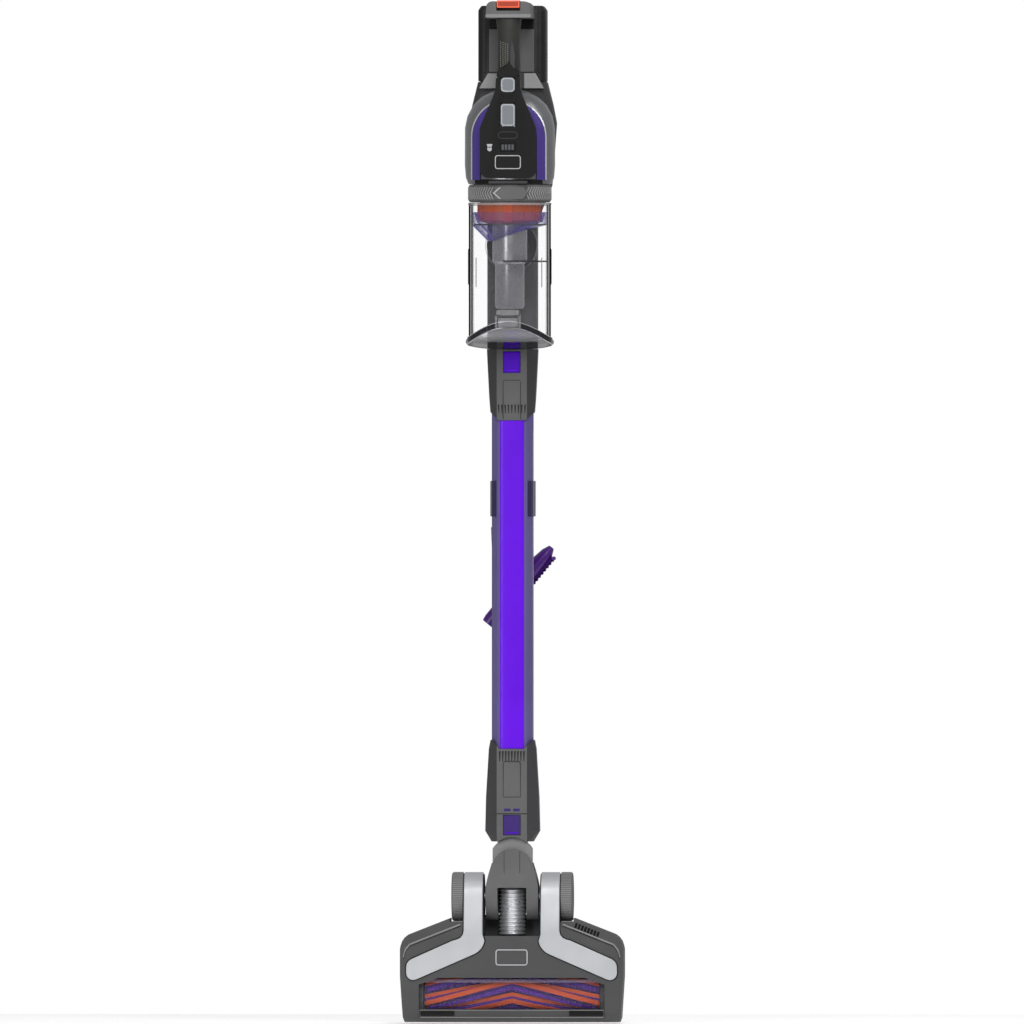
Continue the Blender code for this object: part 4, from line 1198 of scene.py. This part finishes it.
def floor():
    """A white floor with a weak glow, so that it stays as pale as the backdrop."""
    mesh = bpy.data.meshes.new("floor")
    half, depth = 0.9, 0.7
    level = CAD_BOX[0][2] - 0.002
    corners = [(-half, -depth, level), (half, -depth, level), (half, depth, level), (-half, depth, level)]
    mesh.from_pydata(corners, [], [(0, 1, 2, 3)])
    made = placed("floor", mesh)
    surface, tree, shader = material("floor_white")
    feed(shader, "Base Color", ramp(tree, noise(tree, 6), (0.93, 0.93, 0.93, 1), (0.95, 0.95, 0.95, 1)))
    preset(shader, {"Roughness": 0.9, "Emission Color": (1, 1, 1, 1), "Emission Strength": 0.4})
    mesh.materials.append(surface)


def studio():
    """A soft grey room, brighter behind the object, that the camera sees as plain white."""
    world = bpy.data.worlds.new("studio")
    bpy.context.scene.world = world
    bpy.context.scene.view_settings.view_transform = "Standard"
    world.use_nodes = True
    tree = world.node_tree
    back = tree.nodes["Background"]
    preset(back, {"Color": (1, 1, 1, 1)})
    parts = tree.nodes.new("ShaderNodeSeparateXYZ")
    feed(parts, "Vector", tree.nodes.new("ShaderNodeTexCoord").outputs["Generated"])
    glow = tree.nodes.new("ShaderNodeMix")
    preset(glow, {"B": 1.0})
    feed(glow, "A", ranged(tree, parts.outputs["Y"], -1, 1, AMBIENT, 2.2 * AMBIENT))
    feed(glow, "Factor", tree.nodes.new("ShaderNodeLightPath").outputs["Is Camera Ray"])
    feed(back, "Strength", glow.outputs["Result"])


def lamp(name, place, target, size, power):
    light = bpy.data.lights.new(name, "AREA")
    light.shape = "RECTANGLE"
    light.size, light.size_y = size
    light.energy = power
    made = placed(name, light)
    made.location = place
    made.rotation_euler = (Vector(target) - Vector(place)).to_track_quat("-Z", "Y").to_euler()


def camera():
    """A very long lens, almost square on to the front."""
    lens = bpy.data.cameras.new("camera")
    lens.sensor_width = 36
    lens.lens = 1200
    lens.clip_end = 200
    made = placed("camera", lens)
    low, high = Vector(CAD_BOX[0]), Vector(CAD_BOX[1])
    shown = (high.z - low.z) * 1.003
    distance = shown * lens.lens / lens.sensor_width
    angle = math.radians(2.5)
    aim = Vector((0.0005, AXIS_Y - 0.03, (low.z + high.z) / 2))
    made.location = aim + Vector((math.sin(angle), -math.cos(angle), 0)) * distance
    made.rotation_euler = (aim - made.location).to_track_quat("-Z", "Y").to_euler()
    bpy.context.scene.camera = made


def lights():
    """Soft boxes, as name, place, size and watts, all turned to the middle of the vacuum."""
    target = (0, AXIS_Y, EDGE_Z + 0.57)
    for name, place, size, power in (
        ("key", (0.35, -3.0, 1.2), (0.8, 1.6), 40),
        ("fill", (-1.1, -2.7, 0.2), (0.6, 1.5), 17),
        ("rim", (1.7, -0.2, 1.2), (0.5, 1.4), 5),
        ("top", (0.7, -1.5, 2.4), (0.7, 0.5), 16),
    ):
        lamp(name, place, target, size, power)


camera()
floor()
studio()
lights()
battery()
handle()
bridge()
console()
housing()
rear_shell()
filter_ring()
bowl()
door()
latch()
separator()
upper_connector()
duct()
wand()
collar()
accessory()
lower_connector()
neck()
hose()
head()
brush_front()
wheels()
brush()
